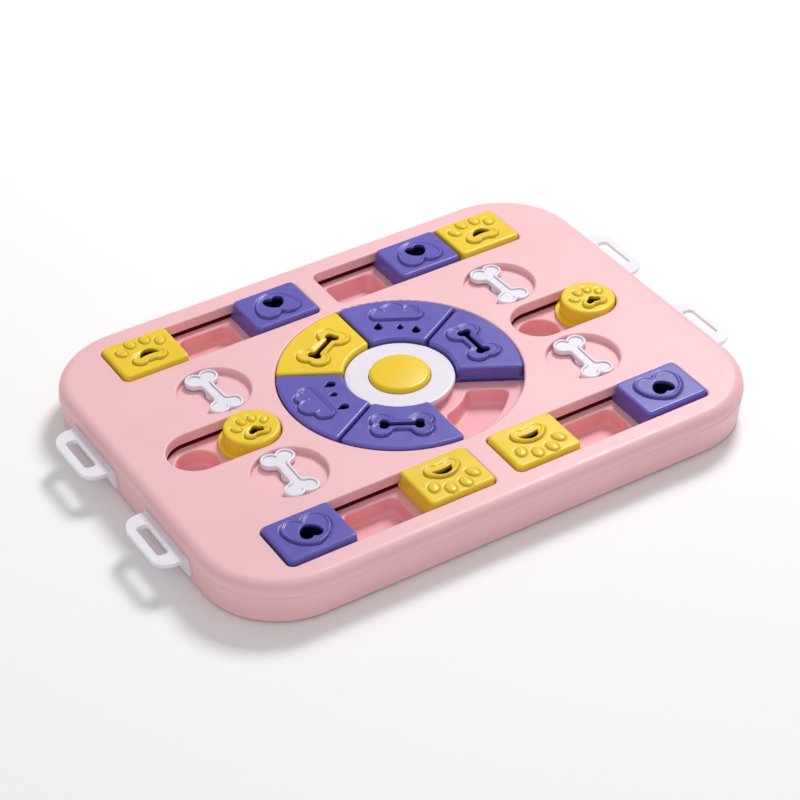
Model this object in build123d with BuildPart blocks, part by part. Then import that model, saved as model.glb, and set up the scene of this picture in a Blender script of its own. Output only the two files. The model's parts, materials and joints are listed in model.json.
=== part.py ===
"""Dog puzzle feeder: a two-shell board with sliding tiles, a turning ring of wedges,
a squeaker button, turning bones and pull-out drawers.

Millimetres, +Z up. The origin is the middle of the footprint, on the surface that the feet stand on.
+X runs along the long side and +Y along the short side.
"""
from build123d import *
from math import acos, atan2, cos, degrees, pi, radians, sin, sqrt, tan
import os

os.makedirs("parts", exist_ok=True)

# ---------------------------------------------------------------- driving dimensions
# housing, and how far the layout is stretched along and across it
board_length = 340.0
board_width = 254.0
along = board_length / 340.0
across = board_width / 254.0
board_corner = 49.0 * across
housing_height = 26.0
foot_stand = 1.5
wall = 2.2
top_edge_round = 6.5
skirt_height = 8.4
deck_drop = 9.2
deck_thickness = 2.0
floor_thickness = 2.0
skirt_draft = 6.2
floor_edge_round = 1.2

# windows in the panel
slot_end_margin = 36.2 * along
slot_divider = 12.8 * along
slot_side_margin = 15.85 * across
slot_width = 35.0 * across
slot_corner = 4.0
well_radius = 70.25 * across
stadium_end_margin = 24.25
stadium_well_margin = 8.0
stadium_width = 33.4 * across
lip_thickness = 1.8
lip_drop = 6.2
rim_round = 1.2

# sliding tiles and the channels that hold their flanges
tile_cells = 3
tile_gap = 0.8
side_fit = 0.4
slide_fit = 0.2
flange_reach = 2.2
flange_thickness = 2.4
guide_fit = 0.3
guide_wall = 1.3
nest_gap = 0.05
tile_rise = 2.4
tile_draft = 4.5
tile_wall = 2.2
tile_corner = 3.2
top_round = 1.6
relief_height = 0.9

# round sliders
round_draft = 4.0

# ring of wedges and the hub
ring_places = 6
wedge_side_gap = 0.9
wedge_rim_gap = 0.7
wedge_rise = 1.2
wedge_corner = 2.0
hub_radius = 29.5 * across
hub_wall = 2.3
hub_disc_overhang = 1.8
disc_drop = 1.7
disc_thickness = 2.6
disc_round = 1.2
disc_spigot_fit = 0.1
disc_spigot_depth = 4.0
disc_spigot_wall = 1.6

# squeaker button
button_radius = 17.4 * across
button_fit = 0.3
button_edge_rise = 1.9
button_dome = 1.5
button_edge_round = 1.7
button_flange_reach = 2.2
button_flange_thickness = 1.6
button_wall = 2.0
bulb_radius = 13.0 * across
reed_radius = 4.0
reed_height = 5.0

# treat pockets
pocket_depth = 10.0
cup_wall = 1.6
pocket_end_margin = 4.7
pocket_side_margin = 5.0
pocket_corner = 5.0
pocket_rim_round = 1.2
pocket_floor_round = 2.5
sector_pocket_corner = 4.0
round_pocket_margin = 4.7
sector_pocket_inner_margin = 8.5
sector_pocket_outer_margin = 8.75
sector_pocket_side = 6.5

# turning bones
recess_radius = 21.0 * across
recess_depth = 4.0
recess_wall = 1.4
recess_fit = 0.1
recess_x = 95.5 * along
bone_end_gap = 1.0
bone_lobe_radius = 5.8 * across
bone_lobe_spread = 4.3 * across
bone_shaft_width = 8.2 * across
bone_thickness = 3.2
bone_hover = 0.7
bone_rim = 1.4
bone_dish = 0.8
bone_lean = 2.0
barrel_radius = 4.9
barrel_fit = 0.05
barrel_relief = 0.8
stem_radius = 3.0
washer_radius = 8.0
washer_thickness = 1.6
washer_fit = 0.25

# drawers
front_width = 50.0
front_thickness = 2.6
front_proud = 0.9
front_drop = 20.0
front_fit = 0.3
drawer_side_margin = 2.5
drawer_depth = 58.0
drawer_wall = 1.6
drawer_floor_z = 8.0
drawer_height = 7.7
drawer_ear = 1.3
drawer_ear_length = 3.0
drawer_stop_length = 3.0
drawer_stop_fit = 0.4
drawer_stop_width = 4.1
runner_width = 2.0
runner_fit = 0.2
rail_height = 8.0
keeper_length = 38.0
keeper_fit = 0.3
loop_reach = 15.6
loop_side_margin = 2.0
loop_corner = 10.0
loop_thickness = 2.4
loop_inset = 0.6
finger_width = 27.0
finger_depth = 7.0
finger_bar = 4.2
finger_corner = 2.5

# fasteners and feet
boss_radius = 3.6
boss_fit = 0.3
boss_bore = 1.45
boss_bore_depth = 12.0
pad_height = 1.5
pad_radius = 5.0
screw_radius = 1.4
screw_length = 11.0
screw_head_radius = 2.7
screw_head_height = 1.2
screw_head_fit = 0.3
screw_end_margin = 13.0
screw_side_margin = 7.6
corner_screw_inset = 23.5
foot_radius = 7.0
foot_seat = 1.0
foot_fit = 0.05
foot_end_margin = 42.0
foot_side_margin = 31.0

# ---------------------------------------------------------------- levels worked out from them
panel_top = foot_stand + housing_height
panel_under = panel_top - wall
parting_z = panel_top - skirt_height
lip_z = panel_top - lip_drop
deck_z = panel_top - deck_drop
deck_under = deck_z - deck_thickness
floor_top = foot_stand + floor_thickness
pocket_floor = deck_z - pocket_depth
slide_z = deck_z + slide_fit
flange_z = slide_z + flange_thickness
tile_top = panel_top + tile_rise
wedge_top = panel_top + wedge_rise
disc_top = panel_top - disc_drop
disc_under = disc_top - disc_thickness
recess_floor = panel_top - recess_depth
recess_under = recess_floor - wall
corners = ((1, 1), (-1, 1), (-1, -1), (1, -1))
side_of = {"left": -1, "right": 1}
row_of = {"near": -1, "far": 1}

slot_length = board_length / 2 - slot_end_margin - slot_divider / 2
slot_x = (slot_length + slot_divider) / 2
slot_y = board_width / 2 - slot_side_margin - slot_width / 2
tile_pitch = slot_length / tile_cells
tile_length = tile_pitch - tile_gap
tile_width = slot_width - 2 * side_fit
tile_flange_width = slot_width + 2 * flange_reach
cell_of = {"left": -tile_pitch, "middle": 0.0, "right": tile_pitch}
pocket_length = tile_pitch - 2 * pocket_end_margin
pocket_width = slot_width - 2 * pocket_side_margin

stadium_length = board_length / 2 - stadium_end_margin - well_radius - stadium_well_margin
stadium_x = board_length / 2 - stadium_end_margin - stadium_length / 2
round_travel = stadium_length - stadium_width
round_radius = stadium_width / 2 - side_fit
round_flange_radius = stadium_width / 2 + flange_reach
round_pocket_radius = stadium_width / 2 - round_pocket_margin

hub_disc_radius = hub_radius + hub_disc_overhang
wedge_outer = well_radius - wedge_rim_gap
wedge_inner = hub_disc_radius + wedge_rim_gap
wedge_middle = (wedge_outer + wedge_inner) / 2
wedge_flange_outer = well_radius + flange_reach
wedge_flange_inner = hub_radius + wedge_rim_gap
wedge_half_angle = 180.0 / ring_places
sector_pocket_inner = hub_radius + sector_pocket_inner_margin
sector_pocket_outer = well_radius - sector_pocket_outer_margin

stadium_channel_side = stadium_width / 2 + flange_reach + guide_fit + guide_wall
recess_y = stadium_channel_side + recess_fit + recess_wall + recess_radius
stop_x = board_length / 2 - wall - drawer_stop_length
notch_inner = stop_x + drawer_stop_length / 2
front_bottom = panel_top - front_drop
front_outer = board_length / 2 + front_proud
front_inner = front_outer - front_thickness
front_top = parting_z - front_fit
box_back = front_inner - drawer_depth
box_top = drawer_floor_z + drawer_height
drawer_width = front_width - 2 * drawer_side_margin
drawer_y = stadium_channel_side + drawer_width / 2
loop_width = front_width - 2 * loop_side_margin
corner_screw_x = board_length / 2 - corner_screw_inset
corner_screw_y = board_width / 2 - corner_screw_inset
screw_x = board_length / 2 - screw_end_margin
screw_y = board_width / 2 - screw_side_margin
foot_x = board_length / 2 - foot_end_margin
foot_y = board_width / 2 - foot_side_margin


# ---------------------------------------------------------------- outlines
def rounded(length, width, corner):
    """Rectangle with round corners."""
    with BuildSketch() as outline:
        RectangleRounded(length, width, corner)
    return outline.sketch


def stadium(length, width):
    """Slot with half-round ends, length measured over the ends."""
    with BuildSketch() as outline:
        SlotOverall(length, width)
    return outline.sketch


def ring_of(inner, outer):
    with BuildSketch() as outline:
        Circle(outer)
        Circle(inner, mode=Mode.SUBTRACT)
    return outline.sketch


def teardrop(radius, tip):
    """Circle with two tangents that meet at a tip, towards +X."""
    touch = acos(radius / tip)
    with BuildSketch() as outline:
        Circle(radius)
        with BuildLine():
            Polyline((tip, 0), (radius * cos(touch), radius * sin(touch)), (0, 0),
                     (radius * cos(touch), -radius * sin(touch)), (tip, 0))
        make_face()
    return outline.sketch


def heart(width, height):
    """Four arcs: two round lobes at the top and two full flanks that meet in a point at the bottom (-Y)."""
    lobe = 0.27 * width
    lobe_x = width / 2 - lobe
    lobe_y = height / 2 - lobe
    flank = ((width / 2) ** 2 + (height - lobe) ** 2) / width
    turn = atan2(-(height - lobe), flank - width / 2) / 2
    cleft = (0, lobe_y + sqrt(lobe ** 2 - lobe_x ** 2))
    tip = (0, -height / 2)
    with BuildSketch() as outline:
        with BuildLine():
            for side in (1, -1):
                widest = (side * width / 2, lobe_y)
                shoulder = (side * (lobe_x + lobe * cos(pi / 3)), lobe_y + lobe * sin(pi / 3))
                belly = (side * (width / 2 - flank + flank * cos(turn)), lobe_y + flank * sin(turn))
                ThreePointArc(cleft, shoulder, widest)
                ThreePointArc(widest, belly, tip)
        make_face()
    return outline.sketch


def bone(length, shaft, lobe, spread, neck_round):
    """Shaft along X with a pair of round lobes at each end, and rounded necks."""
    lobe_x = length / 2 - lobe
    with BuildSketch() as outline:
        Rectangle(2 * lobe_x, shaft)
        with Locations(*[(sx * lobe_x, sy * spread) for sx, sy in corners]):
            Circle(lobe)
        necks = outline.vertices().filter_by(lambda v: abs(abs(v.Y) - shaft / 2) < 0.01 and abs(v.X) < lobe_x)
        fillet(necks, neck_round)
    return outline.sketch


def cloud(length, depth):
    """Flat base on the -X side and three bumps on the +X side, length along Y."""
    small = 0.30 * depth
    middle = 0.46 * depth
    base = -depth / 2
    with BuildSketch() as outline:
        with Locations((base + small, -length / 2 + small), (base + small, length / 2 - small)):
            Circle(small)
        with Locations((base + small, 0)):
            Rectangle(2 * small, length - 2 * small)
        with Locations((depth / 2 - middle, 0.04 * length)):
            Circle(middle)
        with Locations((0.06 * depth, -0.24 * length), (0.02 * depth, 0.29 * length)):
            Circle(0.34 * depth)
    return outline.sketch


def crescent(length, height):
    """Arch-shaped slot: one flat and one deep arc between the same two points."""
    with BuildSketch() as outline:
        with BuildLine():
            ThreePointArc((-length / 2, 0), (0, height), (length / 2, 0))
            ThreePointArc((length / 2, 0), (0, height * 0.15), (-length / 2, 0))
        make_face()
    return outline.sketch


def bean(length, height):
    """Kidney-shaped hole: two round ends and an arched middle."""
    end = height * 0.36
    with BuildSketch() as outline:
        with Locations((-length / 2 + end, -0.10 * height), (length / 2 - end, -0.10 * height)):
            Circle(end)
        with Locations((0, 0.14 * height)):
            Circle(height * 0.40)
    return outline.sketch


def ring_sector(inner, outer, side_gap, half_angle, corner=0):
    """Sector of a ring about the +X direction, with sides parallel to its two radii and side_gap inside them."""
    apex = side_gap / sin(radians(half_angle))
    reach = outer * 1.6
    with BuildSketch() as outline:
        Circle(outer)
        Circle(inner, mode=Mode.SUBTRACT)
        with BuildLine():
            Polyline((apex, 0), (apex + reach * cos(radians(half_angle)), reach * sin(radians(half_angle))),
                     (apex + reach * cos(radians(half_angle)), -reach * sin(radians(half_angle))), (apex, 0))
        make_face(mode=Mode.INTERSECT)
        if corner:
            fillet(outline.vertices(), corner)
    return outline.sketch


board = rounded(board_length, board_width, board_corner)
board_inside = rounded(board_length - 2 * wall, board_width - 2 * wall, board_corner - wall)
slot_window = rounded(slot_length, slot_width, slot_corner)
slot_lip = rounded(slot_length + 2 * lip_thickness, slot_width + 2 * lip_thickness, slot_corner + lip_thickness)
stadium_window = stadium(stadium_length, stadium_width)
stadium_lip = stadium(stadium_length + 2 * lip_thickness, stadium_width + 2 * lip_thickness)
slot_places = [Location((sx * slot_x, sy * slot_y, 0)) for sx, sy in corners]
stadium_places = [Location((sx * stadium_x, 0, 0)) for sx in (1, -1)]
recess_places = [Location((sx * recess_x, sy * recess_y, 0)) for sx, sy in corners]
screw_places = [Location((sx * corner_screw_x, sy * corner_screw_y, 0)) for sx, sy in corners]
screw_places += [Location((0, sy * screw_y, 0)) for sy in (1, -1)]
screw_places += [Location((sx * screw_x, 0, 0)) for sx in (1, -1)]

# ---------------------------------------------------------------- top panel
with BuildPart() as top_panel:
    with BuildSketch(Plane.XY.offset(parting_z)):
        add(board)
    extrude(amount=panel_top - parting_z)
    fillet(top_panel.faces().sort_by(Axis.Z)[-1].edges(), top_edge_round)
    with BuildPart(mode=Mode.PRIVATE) as panel_core:
        with BuildSketch(Plane.XY.offset(parting_z)):
            add(board_inside)
        extrude(amount=panel_under - parting_z)
        fillet(panel_core.faces().sort_by(Axis.Z)[-1].edges(), top_edge_round - wall)
    add(panel_core.part, mode=Mode.SUBTRACT)
    # lips that turn down around the windows, cups of the dished recesses, and screw bosses
    with BuildSketch(Plane.XY.offset(lip_z)):
        with Locations(*slot_places):
            add(slot_lip)
        with Locations(*stadium_places):
            add(stadium_lip)
        Circle(well_radius + lip_thickness)
    extrude(amount=panel_under - lip_z)
    with BuildSketch(Plane.XY.offset(recess_under)):
        with Locations(*recess_places):
            Circle(recess_radius + recess_wall)
    extrude(amount=panel_under - recess_under)
    with BuildSketch(Plane.XY.offset(floor_top + pad_height)):
        with Locations(*screw_places):
            Circle(boss_radius)
    extrude(amount=panel_under - floor_top - pad_height)
    # ribs that keep the drawers' side walls down
    with BuildSketch(Plane.XY.offset(drawer_floor_z + drawer_height + keeper_fit)):
        for sx, sy in corners:
            keeper_x = sx * (stop_x - keeper_length / 2)
            for side in (1, -1):
                keeper_y = sy * drawer_y + side * (drawer_width - drawer_wall) / 2
                with Locations((keeper_x, keeper_y)):
                    Rectangle(keeper_length, drawer_wall)
    extrude(amount=panel_under - drawer_floor_z - drawer_height - keeper_fit)
    # the windows and the dishes
    with BuildSketch(Plane.XY.offset(lip_z)):
        with Locations(*slot_places):
            add(slot_window)
        with Locations(*stadium_places):
            add(stadium_window)
        Circle(well_radius)
    extrude(amount=panel_top - lip_z, mode=Mode.SUBTRACT)
    with BuildSketch(Plane.XY.offset(recess_floor)):
        with Locations(*recess_places):
            Circle(recess_radius)
    extrude(amount=recess_depth, mode=Mode.SUBTRACT)
    rims = top_panel.faces().filter_by(Axis.Z).sort_by(Axis.Z)[-1].inner_wires().edges()
    fillet(rims, rim_round)
    # barrel holes with a wider mouth, and blind bores for the screws
    with BuildSketch(Plane.XY.offset(recess_under)):
        with Locations(*recess_places):
            Circle(barrel_radius + barrel_fit)
    extrude(amount=wall, mode=Mode.SUBTRACT)
    with BuildSketch(Plane.XY.offset(recess_floor - wall / 2)):
        with Locations(*recess_places):
            Circle(barrel_radius + barrel_relief)
    extrude(amount=wall / 2, mode=Mode.SUBTRACT)
    with BuildSketch(Plane.XY.offset(floor_top + pad_height)):
        with Locations(*screw_places):
            Circle(boss_bore)
    extrude(amount=boss_bore_depth, mode=Mode.SUBTRACT)
top_panel.part.label = "top_panel"
export_step(top_panel.part, "parts/top_panel.step")

# ---------------------------------------------------------------- base shell
screw_seat = foot_stand + screw_head_height + 0.2
rail_length = stop_x - box_back - 2.0
rail_inner = drawer_width / 2 + drawer_ear + front_fit
cup_under = pocket_floor - cup_wall
foot_places = [Location((sx * foot_x, sy * foot_y, 0)) for sx, sy in corners]
with BuildPart() as base_shell:
    with BuildSketch(Plane.XY.offset(parting_z)):
        add(board)
    extrude(amount=foot_stand - parting_z, taper=skirt_draft)
    fillet(base_shell.faces().sort_by(Axis.Z)[0].edges(), floor_edge_round)
    with BuildPart(mode=Mode.PRIVATE) as base_core:
        with BuildSketch(Plane.XY.offset(parting_z)):
            add(board_inside)
        extrude(amount=floor_top - parting_z, taper=skirt_draft)
    add(base_core.part, mode=Mode.SUBTRACT)
    # pads under the panel's screw bosses, and ribs that the troughs stand on
    with BuildSketch(Plane.XY.offset(floor_top)):
        with Locations(*screw_places):
            Circle(pad_radius)
    extrude(amount=pad_height)
    with BuildSketch(Plane.XY.offset(floor_top)):
        with Locations(*slot_places):
            Rectangle(2 * tile_pitch, runner_width)
        with Locations(*stadium_places):
            Rectangle(round_travel, runner_width)
        for rib_radius in ((sector_pocket_inner + sector_pocket_outer) / 2, hub_radius - runner_width / 2):
            add(ring_of(rib_radius - runner_width / 2, rib_radius + runner_width / 2))
    extrude(amount=cup_under - floor_top)
    # runners under each drawer, rails beside it and the posts that its ears stop on
    with BuildSketch(Plane.XY.offset(floor_top)):
        for sx, sy in corners:
            rail_x = sx * (box_back + rail_length / 2)
            with Locations((rail_x, sy * drawer_y + drawer_width / 3), (rail_x, sy * drawer_y - drawer_width / 3)):
                Rectangle(rail_length, runner_width)
    extrude(amount=drawer_floor_z - runner_fit - floor_top)
    with BuildSketch(Plane.XY.offset(floor_top)):
        for sx, sy in corners:
            rail_x = sx * (box_back + rail_length / 2)
            for side in (1, -1):
                with Locations((rail_x, sy * drawer_y + side * (rail_inner + runner_width / 2))):
                    Rectangle(rail_length, runner_width)
    extrude(amount=rail_height)
    with BuildSketch(Plane.XY.offset(floor_top)):
        for sx, sy in corners:
            for side in (1, -1):
                post_y = sy * drawer_y + side * (drawer_width / 2 + drawer_stop_fit + drawer_stop_width / 2)
                with Locations((sx * (stop_x + drawer_stop_length / 2), post_y)):
                    Rectangle(drawer_stop_length, drawer_stop_width)
    extrude(amount=drawer_floor_z + drawer_height - floor_top)
    # openings for the drawers, foot seats, screw holes and slots for the squeaker's sound
    with BuildSketch(Plane.XY.offset(front_bottom - front_fit)):
        with Locations(*[(sx * board_length / 2, sy * drawer_y) for sx, sy in corners]):
            Rectangle(2 * (board_length / 2 - notch_inner), front_width + 2 * front_fit)
    extrude(amount=parting_z - front_bottom + front_fit, mode=Mode.SUBTRACT)
    with BuildSketch(Plane.XY.offset(foot_stand)):
        with Locations(*foot_places):
            Circle(foot_radius + foot_fit)
    extrude(amount=foot_seat, mode=Mode.SUBTRACT)
    with BuildSketch(Plane.XY.offset(foot_stand)):
        with Locations(*screw_places):
            Circle(screw_head_radius + screw_head_fit)
    extrude(amount=screw_seat - foot_stand, mode=Mode.SUBTRACT)
    with BuildSketch(Plane.XY.offset(screw_seat)):
        with Locations(*screw_places):
            Circle(screw_radius + screw_head_fit)
    extrude(amount=floor_top + pad_height - screw_seat, mode=Mode.SUBTRACT)
    with BuildSketch(Plane.XY.offset(foot_stand)):
        with GridLocations(0, 5.0, 1, 3):
            SlotOverall(16.0, 2.0)
    extrude(amount=floor_thickness, mode=Mode.SUBTRACT)
base_shell.part.label = "base_shell"
export_step(base_shell.part, "parts/base_shell.step")

# ---------------------------------------------------------------- troughs between the two shells
channel_reach = flange_reach + guide_fit
channel_end = lip_thickness + guide_fit
ring_rim = wedge_flange_outer + guide_fit + guide_wall
pocket_outline = rounded(pocket_length, pocket_width, pocket_corner)
pocket_cup = rounded(pocket_length + 2 * cup_wall, pocket_width + 2 * cup_wall, pocket_corner + cup_wall)
sector_pocket = ring_sector(sector_pocket_inner, sector_pocket_outer, sector_pocket_side,
                            wedge_half_angle, sector_pocket_corner)
sector_cup = ring_sector(sector_pocket_inner - cup_wall, sector_pocket_outer + cup_wall,
                         sector_pocket_side - cup_wall, wedge_half_angle, sector_pocket_corner + cup_wall)
slot_channel = rounded(slot_length + 2 * channel_end, slot_width + 2 * channel_reach, slot_corner)
slot_rim = rounded(slot_length + 2 * (channel_end + guide_wall), slot_width + 2 * (channel_reach + guide_wall),
                   slot_corner + guide_wall)
stadium_channel = stadium(stadium_length + 2 * channel_reach, stadium_width + 2 * channel_reach)
stadium_rim = stadium(stadium_length + 2 * (channel_reach + guide_wall),
                      stadium_width + 2 * (channel_reach + guide_wall))


def trough_body(rim, channel, cups, pockets):
    """Plate with a rim that meets the panel, a channel inside the rim, and cups that hang from the plate."""
    with BuildPart() as body:
        with BuildSketch(Plane.XY.offset(deck_under)):
            add(rim)
        extrude(amount=panel_under - deck_under)
        with BuildSketch(Plane.XY.offset(cup_under)):
            add(cups)
        extrude(amount=deck_under - cup_under)
        with BuildSketch(Plane.XY.offset(deck_z)):
            add(channel)
        extrude(amount=panel_under - deck_z, mode=Mode.SUBTRACT)
        with BuildSketch(Plane.XY.offset(pocket_floor)):
            add(pockets)
        extrude(amount=deck_z - pocket_floor, mode=Mode.SUBTRACT)
        floors = body.faces().filter_by(Axis.Z).filter_by(lambda f: abs(f.center().Z - pocket_floor) < 0.01)
        fillet(floors.edges(), pocket_floor_round)
        deck = body.faces().filter_by(Axis.Z).filter_by(lambda f: abs(f.center().Z - deck_z) < 0.01)
        fillet([wire.edges() for face in deck for wire in face.inner_wires()], pocket_rim_round)
    return body.part


cell_places = [Location((cell_x, 0, 0)) for cell_x in cell_of.values()]
with BuildSketch() as cup_row:
    with Locations(*cell_places):
        add(pocket_cup)
with BuildSketch() as pocket_row:
    with Locations(*cell_places):
        add(pocket_outline)
slot_trough_body = trough_body(slot_rim, slot_channel, cup_row.sketch, pocket_row.sketch)
with BuildSketch() as round_cups:
    with Locations((-round_travel / 2, 0), (round_travel / 2, 0)):
        Circle(round_pocket_radius + cup_wall)
with BuildSketch() as round_pockets:
    with Locations((-round_travel / 2, 0), (round_travel / 2, 0)):
        Circle(round_pocket_radius)
round_trough_body = trough_body(stadium_rim, stadium_channel, round_cups.sketch, round_pockets.sketch)

for sx, sy in corners:
    row = "far" if sy > 0 else "near"
    side = "right" if sx > 0 else "left"
    with BuildPart() as slot_trough:
        with Locations((sx * slot_x, sy * slot_y)):
            add(slot_trough_body)
        with BuildSketch(Plane.XY.offset(deck_under)):
            Circle(ring_rim + nest_gap)
        extrude(amount=panel_under - deck_under, mode=Mode.SUBTRACT)
    slot_trough.part.label = f"slot_trough_{row}_{side}"
    export_step(slot_trough.part, f"parts/slot_trough_{row}_{side}.step")

with BuildPart() as recess_room:
    with BuildSketch(Plane.XY.offset(recess_under - nest_gap)):
        with Locations(*recess_places):
            Circle(recess_radius + recess_wall + nest_gap)
    extrude(amount=wall + recess_depth)
for side, sx in side_of.items():
    with BuildPart() as round_trough:
        with Locations((sx * stadium_x, 0)):
            add(round_trough_body)
        add(recess_room.part, mode=Mode.SUBTRACT)
    round_trough.part.label = f"round_trough_{side}"
    export_step(round_trough.part, f"parts/round_trough_{side}.step")

sector_rim = ring_sector(hub_radius + nest_gap, ring_rim, nest_gap, wedge_half_angle)
sector_channel = ring_of(hub_radius - hub_wall, ring_rim - guide_wall)
ring_trough_body = trough_body(sector_rim, sector_channel, sector_cup, sector_pocket)
ring_place_names = ("right", "far_right", "far_left", "left", "near_left", "near_right")
for place, name in enumerate(ring_place_names):
    with BuildPart() as ring_trough:
        with Locations(Location((0, 0, 0), (0, 0, place * 360 / ring_places))):
            add(ring_trough_body)
        add(recess_room.part, mode=Mode.SUBTRACT)
    ring_trough.part.label = f"ring_trough_{name}"
    export_step(ring_trough.part, f"parts/ring_trough_{name}.step")

with BuildPart() as hub_post:
    with BuildSketch(Plane.XY.offset(cup_under)):
        Circle(hub_radius)
    extrude(amount=disc_under - cup_under)
    with BuildSketch(Plane.XY.offset(pocket_floor)):
        Circle(hub_radius - hub_wall)
    extrude(amount=disc_under - pocket_floor, mode=Mode.SUBTRACT)
hub_post.part.label = "hub_post"
export_step(hub_post.part, "parts/hub_post.step")


# ---------------------------------------------------------------- sliding tiles
heart_raised = heart(27.0 * along, 23.5 * across)
heart_hole = heart(12.6 * along, 11.2 * across)
toes = [(-12.2, 5.6, 20), (-4.7, 10.6, 6), (4.7, 10.6, -6), (12.2, 5.6, -20)]
pad_hole = crescent(11.5 * along, 5.0 * across)
pad_y = -4.0 * across


def ellipse_at(x, y, length, width, turn):
    with BuildSketch() as outline:
        with Locations((x, y)):
            Ellipse(width / 2, length / 2, rotation=turn)
    return outline.sketch


def paw_pad(width, height):
    """Three-lobed main pad of a paw."""
    with BuildSketch() as outline:
        Ellipse(width * 0.40, height * 0.48)
        with Locations((-0.27 * width, -0.18 * height), (0.27 * width, -0.18 * height)):
            Circle(0.23 * width)
    return outline.sketch


with BuildSketch() as paw_sketch:
    for toe_x, toe_y, toe_turn in toes:
        add(ellipse_at(toe_x * along, toe_y * across, 8.6 * across, 6.0 * along, toe_turn))
    with Locations((0, pad_y)):
        add(paw_pad(21.0 * along, 12.0 * across))
paw_raised = paw_sketch.sketch


def tile_body(raised, hole, hole_x, hole_y):
    """Hollow tile on a wide flange, with a raised ornament and a hole through it."""
    tile_side = tile_wall + (tile_top - flange_z) * tan(radians(tile_draft))
    with BuildPart() as body:
        with BuildSketch(Plane.XY.offset(slide_z)):
            add(rounded(tile_length, tile_flange_width, slot_corner))
        extrude(amount=flange_thickness)
        with BuildSketch(Plane.XY.offset(flange_z)):
            add(rounded(tile_length, tile_width, tile_corner))
        extrude(amount=tile_top - flange_z, taper=tile_draft)
        fillet(body.faces().sort_by(Axis.Z)[-1].edges(), top_round)
        with BuildSketch(Plane.XY.offset(tile_top)):
            add(raised)
        extrude(amount=relief_height)
        with BuildSketch(Plane.XY.offset(slide_z)):
            add(rounded(tile_length - 2 * tile_side, tile_width - 2 * tile_side, tile_corner))
        extrude(amount=tile_top - tile_wall - slide_z, mode=Mode.SUBTRACT)
        with BuildSketch(Plane.XY.offset(tile_top - tile_wall)):
            with Locations((hole_x, hole_y)):
                add(hole)
        extrude(amount=tile_wall + relief_height, mode=Mode.SUBTRACT)
    return body.part


with BuildSketch() as turned_heart:
    with Locations(Location((0, 0, 0), (0, 0, 180))):
        add(heart_raised)
heart_tile_body = tile_body(turned_heart.sketch, heart_hole, 0, 1.0)
paw_tile_body = tile_body(paw_raised, pad_hole, 0.6, pad_y - 1.0)

# row and side of the window, cell in it, ornament
tile_sites = (
    ("far", "left", "left", "paw"),
    ("far", "left", "right", "heart"),
    ("far", "right", "middle", "heart"),
    ("far", "right", "right", "paw"),
    ("near", "left", "left", "heart"),
    ("near", "left", "right", "paw"),
    ("near", "right", "left", "paw"),
    ("near", "right", "right", "heart"),
)
tile_bodies = {"heart": heart_tile_body, "paw": paw_tile_body}
for row, side, cell, ornament in tile_sites:
    tile_x = side_of[side] * slot_x + cell_of[cell]
    tile_y = row_of[row] * slot_y
    turn = 0 if row == "far" else 180
    with BuildPart() as tile:
        with Locations(Location((tile_x, tile_y, 0), (0, 0, turn))):
            add(tile_bodies[ornament])
    tile.part.label = f"tile_{row}_{side}_{ornament}"
    export_step(tile.part, f"parts/tile_{row}_{side}_{ornament}.step")

# ---------------------------------------------------------------- round sliders
bean_hole = bean(9.0 * across, 6.0 * across)
round_toes = [(-8.6, 1.6, 32), (-3.2, 6.2, 10), (3.2, 6.2, -10), (8.6, 1.6, -32)]
round_pad_y = -5.2 * across
with BuildSketch() as round_paw:
    for toe_x, toe_y, toe_turn in round_toes:
        add(ellipse_at(toe_x * across, toe_y * across, 6.6 * across, 4.6 * across, toe_turn))
    with Locations((0, round_pad_y)):
        add(paw_pad(15.0 * across, 9.0 * across))
round_side = tile_wall + (tile_top - flange_z) * tan(radians(round_draft))

with BuildPart() as round_body:
    with BuildSketch(Plane.XY.offset(slide_z)):
        Circle(round_flange_radius)
    extrude(amount=flange_thickness)
    with BuildSketch(Plane.XY.offset(flange_z)):
        Circle(round_radius)
    extrude(amount=tile_top - flange_z, taper=round_draft)
    fillet(round_body.faces().sort_by(Axis.Z)[-1].edges(), top_round)
    with BuildSketch(Plane.XY.offset(tile_top)):
        add(round_paw.sketch)
    extrude(amount=relief_height)
    with BuildSketch(Plane.XY.offset(slide_z)):
        Circle(round_radius - round_side)
    extrude(amount=tile_top - tile_wall - slide_z, mode=Mode.SUBTRACT)
    with BuildSketch(Plane.XY.offset(tile_top - tile_wall)):
        with Locations((0, round_pad_y)):
            add(bean_hole)
    extrude(amount=tile_wall + relief_height, mode=Mode.SUBTRACT)

for label, sx in (("round_slider_left", -1), ("round_slider_right", 1)):
    with BuildPart() as slider:
        with Locations(Location((sx * stadium_x + round_travel / 2, 0, 0))):
            add(round_body.part)
    slider.part.label = label
    export_step(slider.part, f"parts/{label}.step")

# ---------------------------------------------------------------- ring of wedges
wedge_outline = ring_sector(wedge_inner, wedge_outer, wedge_side_gap, wedge_half_angle)
wedge_flange = ring_sector(wedge_flange_inner, wedge_flange_outer, wedge_side_gap, wedge_half_angle)
wedge_hollow = ring_sector(wedge_inner + tile_wall, wedge_outer - tile_wall,
                           wedge_side_gap + tile_wall, wedge_half_angle)
drop_sites = ((-8.2, 11.2, 1.0), (-9.0, -1.4, 0.7), (-12.2, -10.5, 1.0))
cloud_raised = cloud(31.0 * across, 16.5 * across)
bone_raised = bone(35.0 * across, 9.0 * across, 6.2 * across, 3.8 * across, 2.5 * across)
bone_hole = bone(25.0 * across, 3.2 * across, 2.6 * across, 1.6 * across, 0.8 * across)

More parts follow.
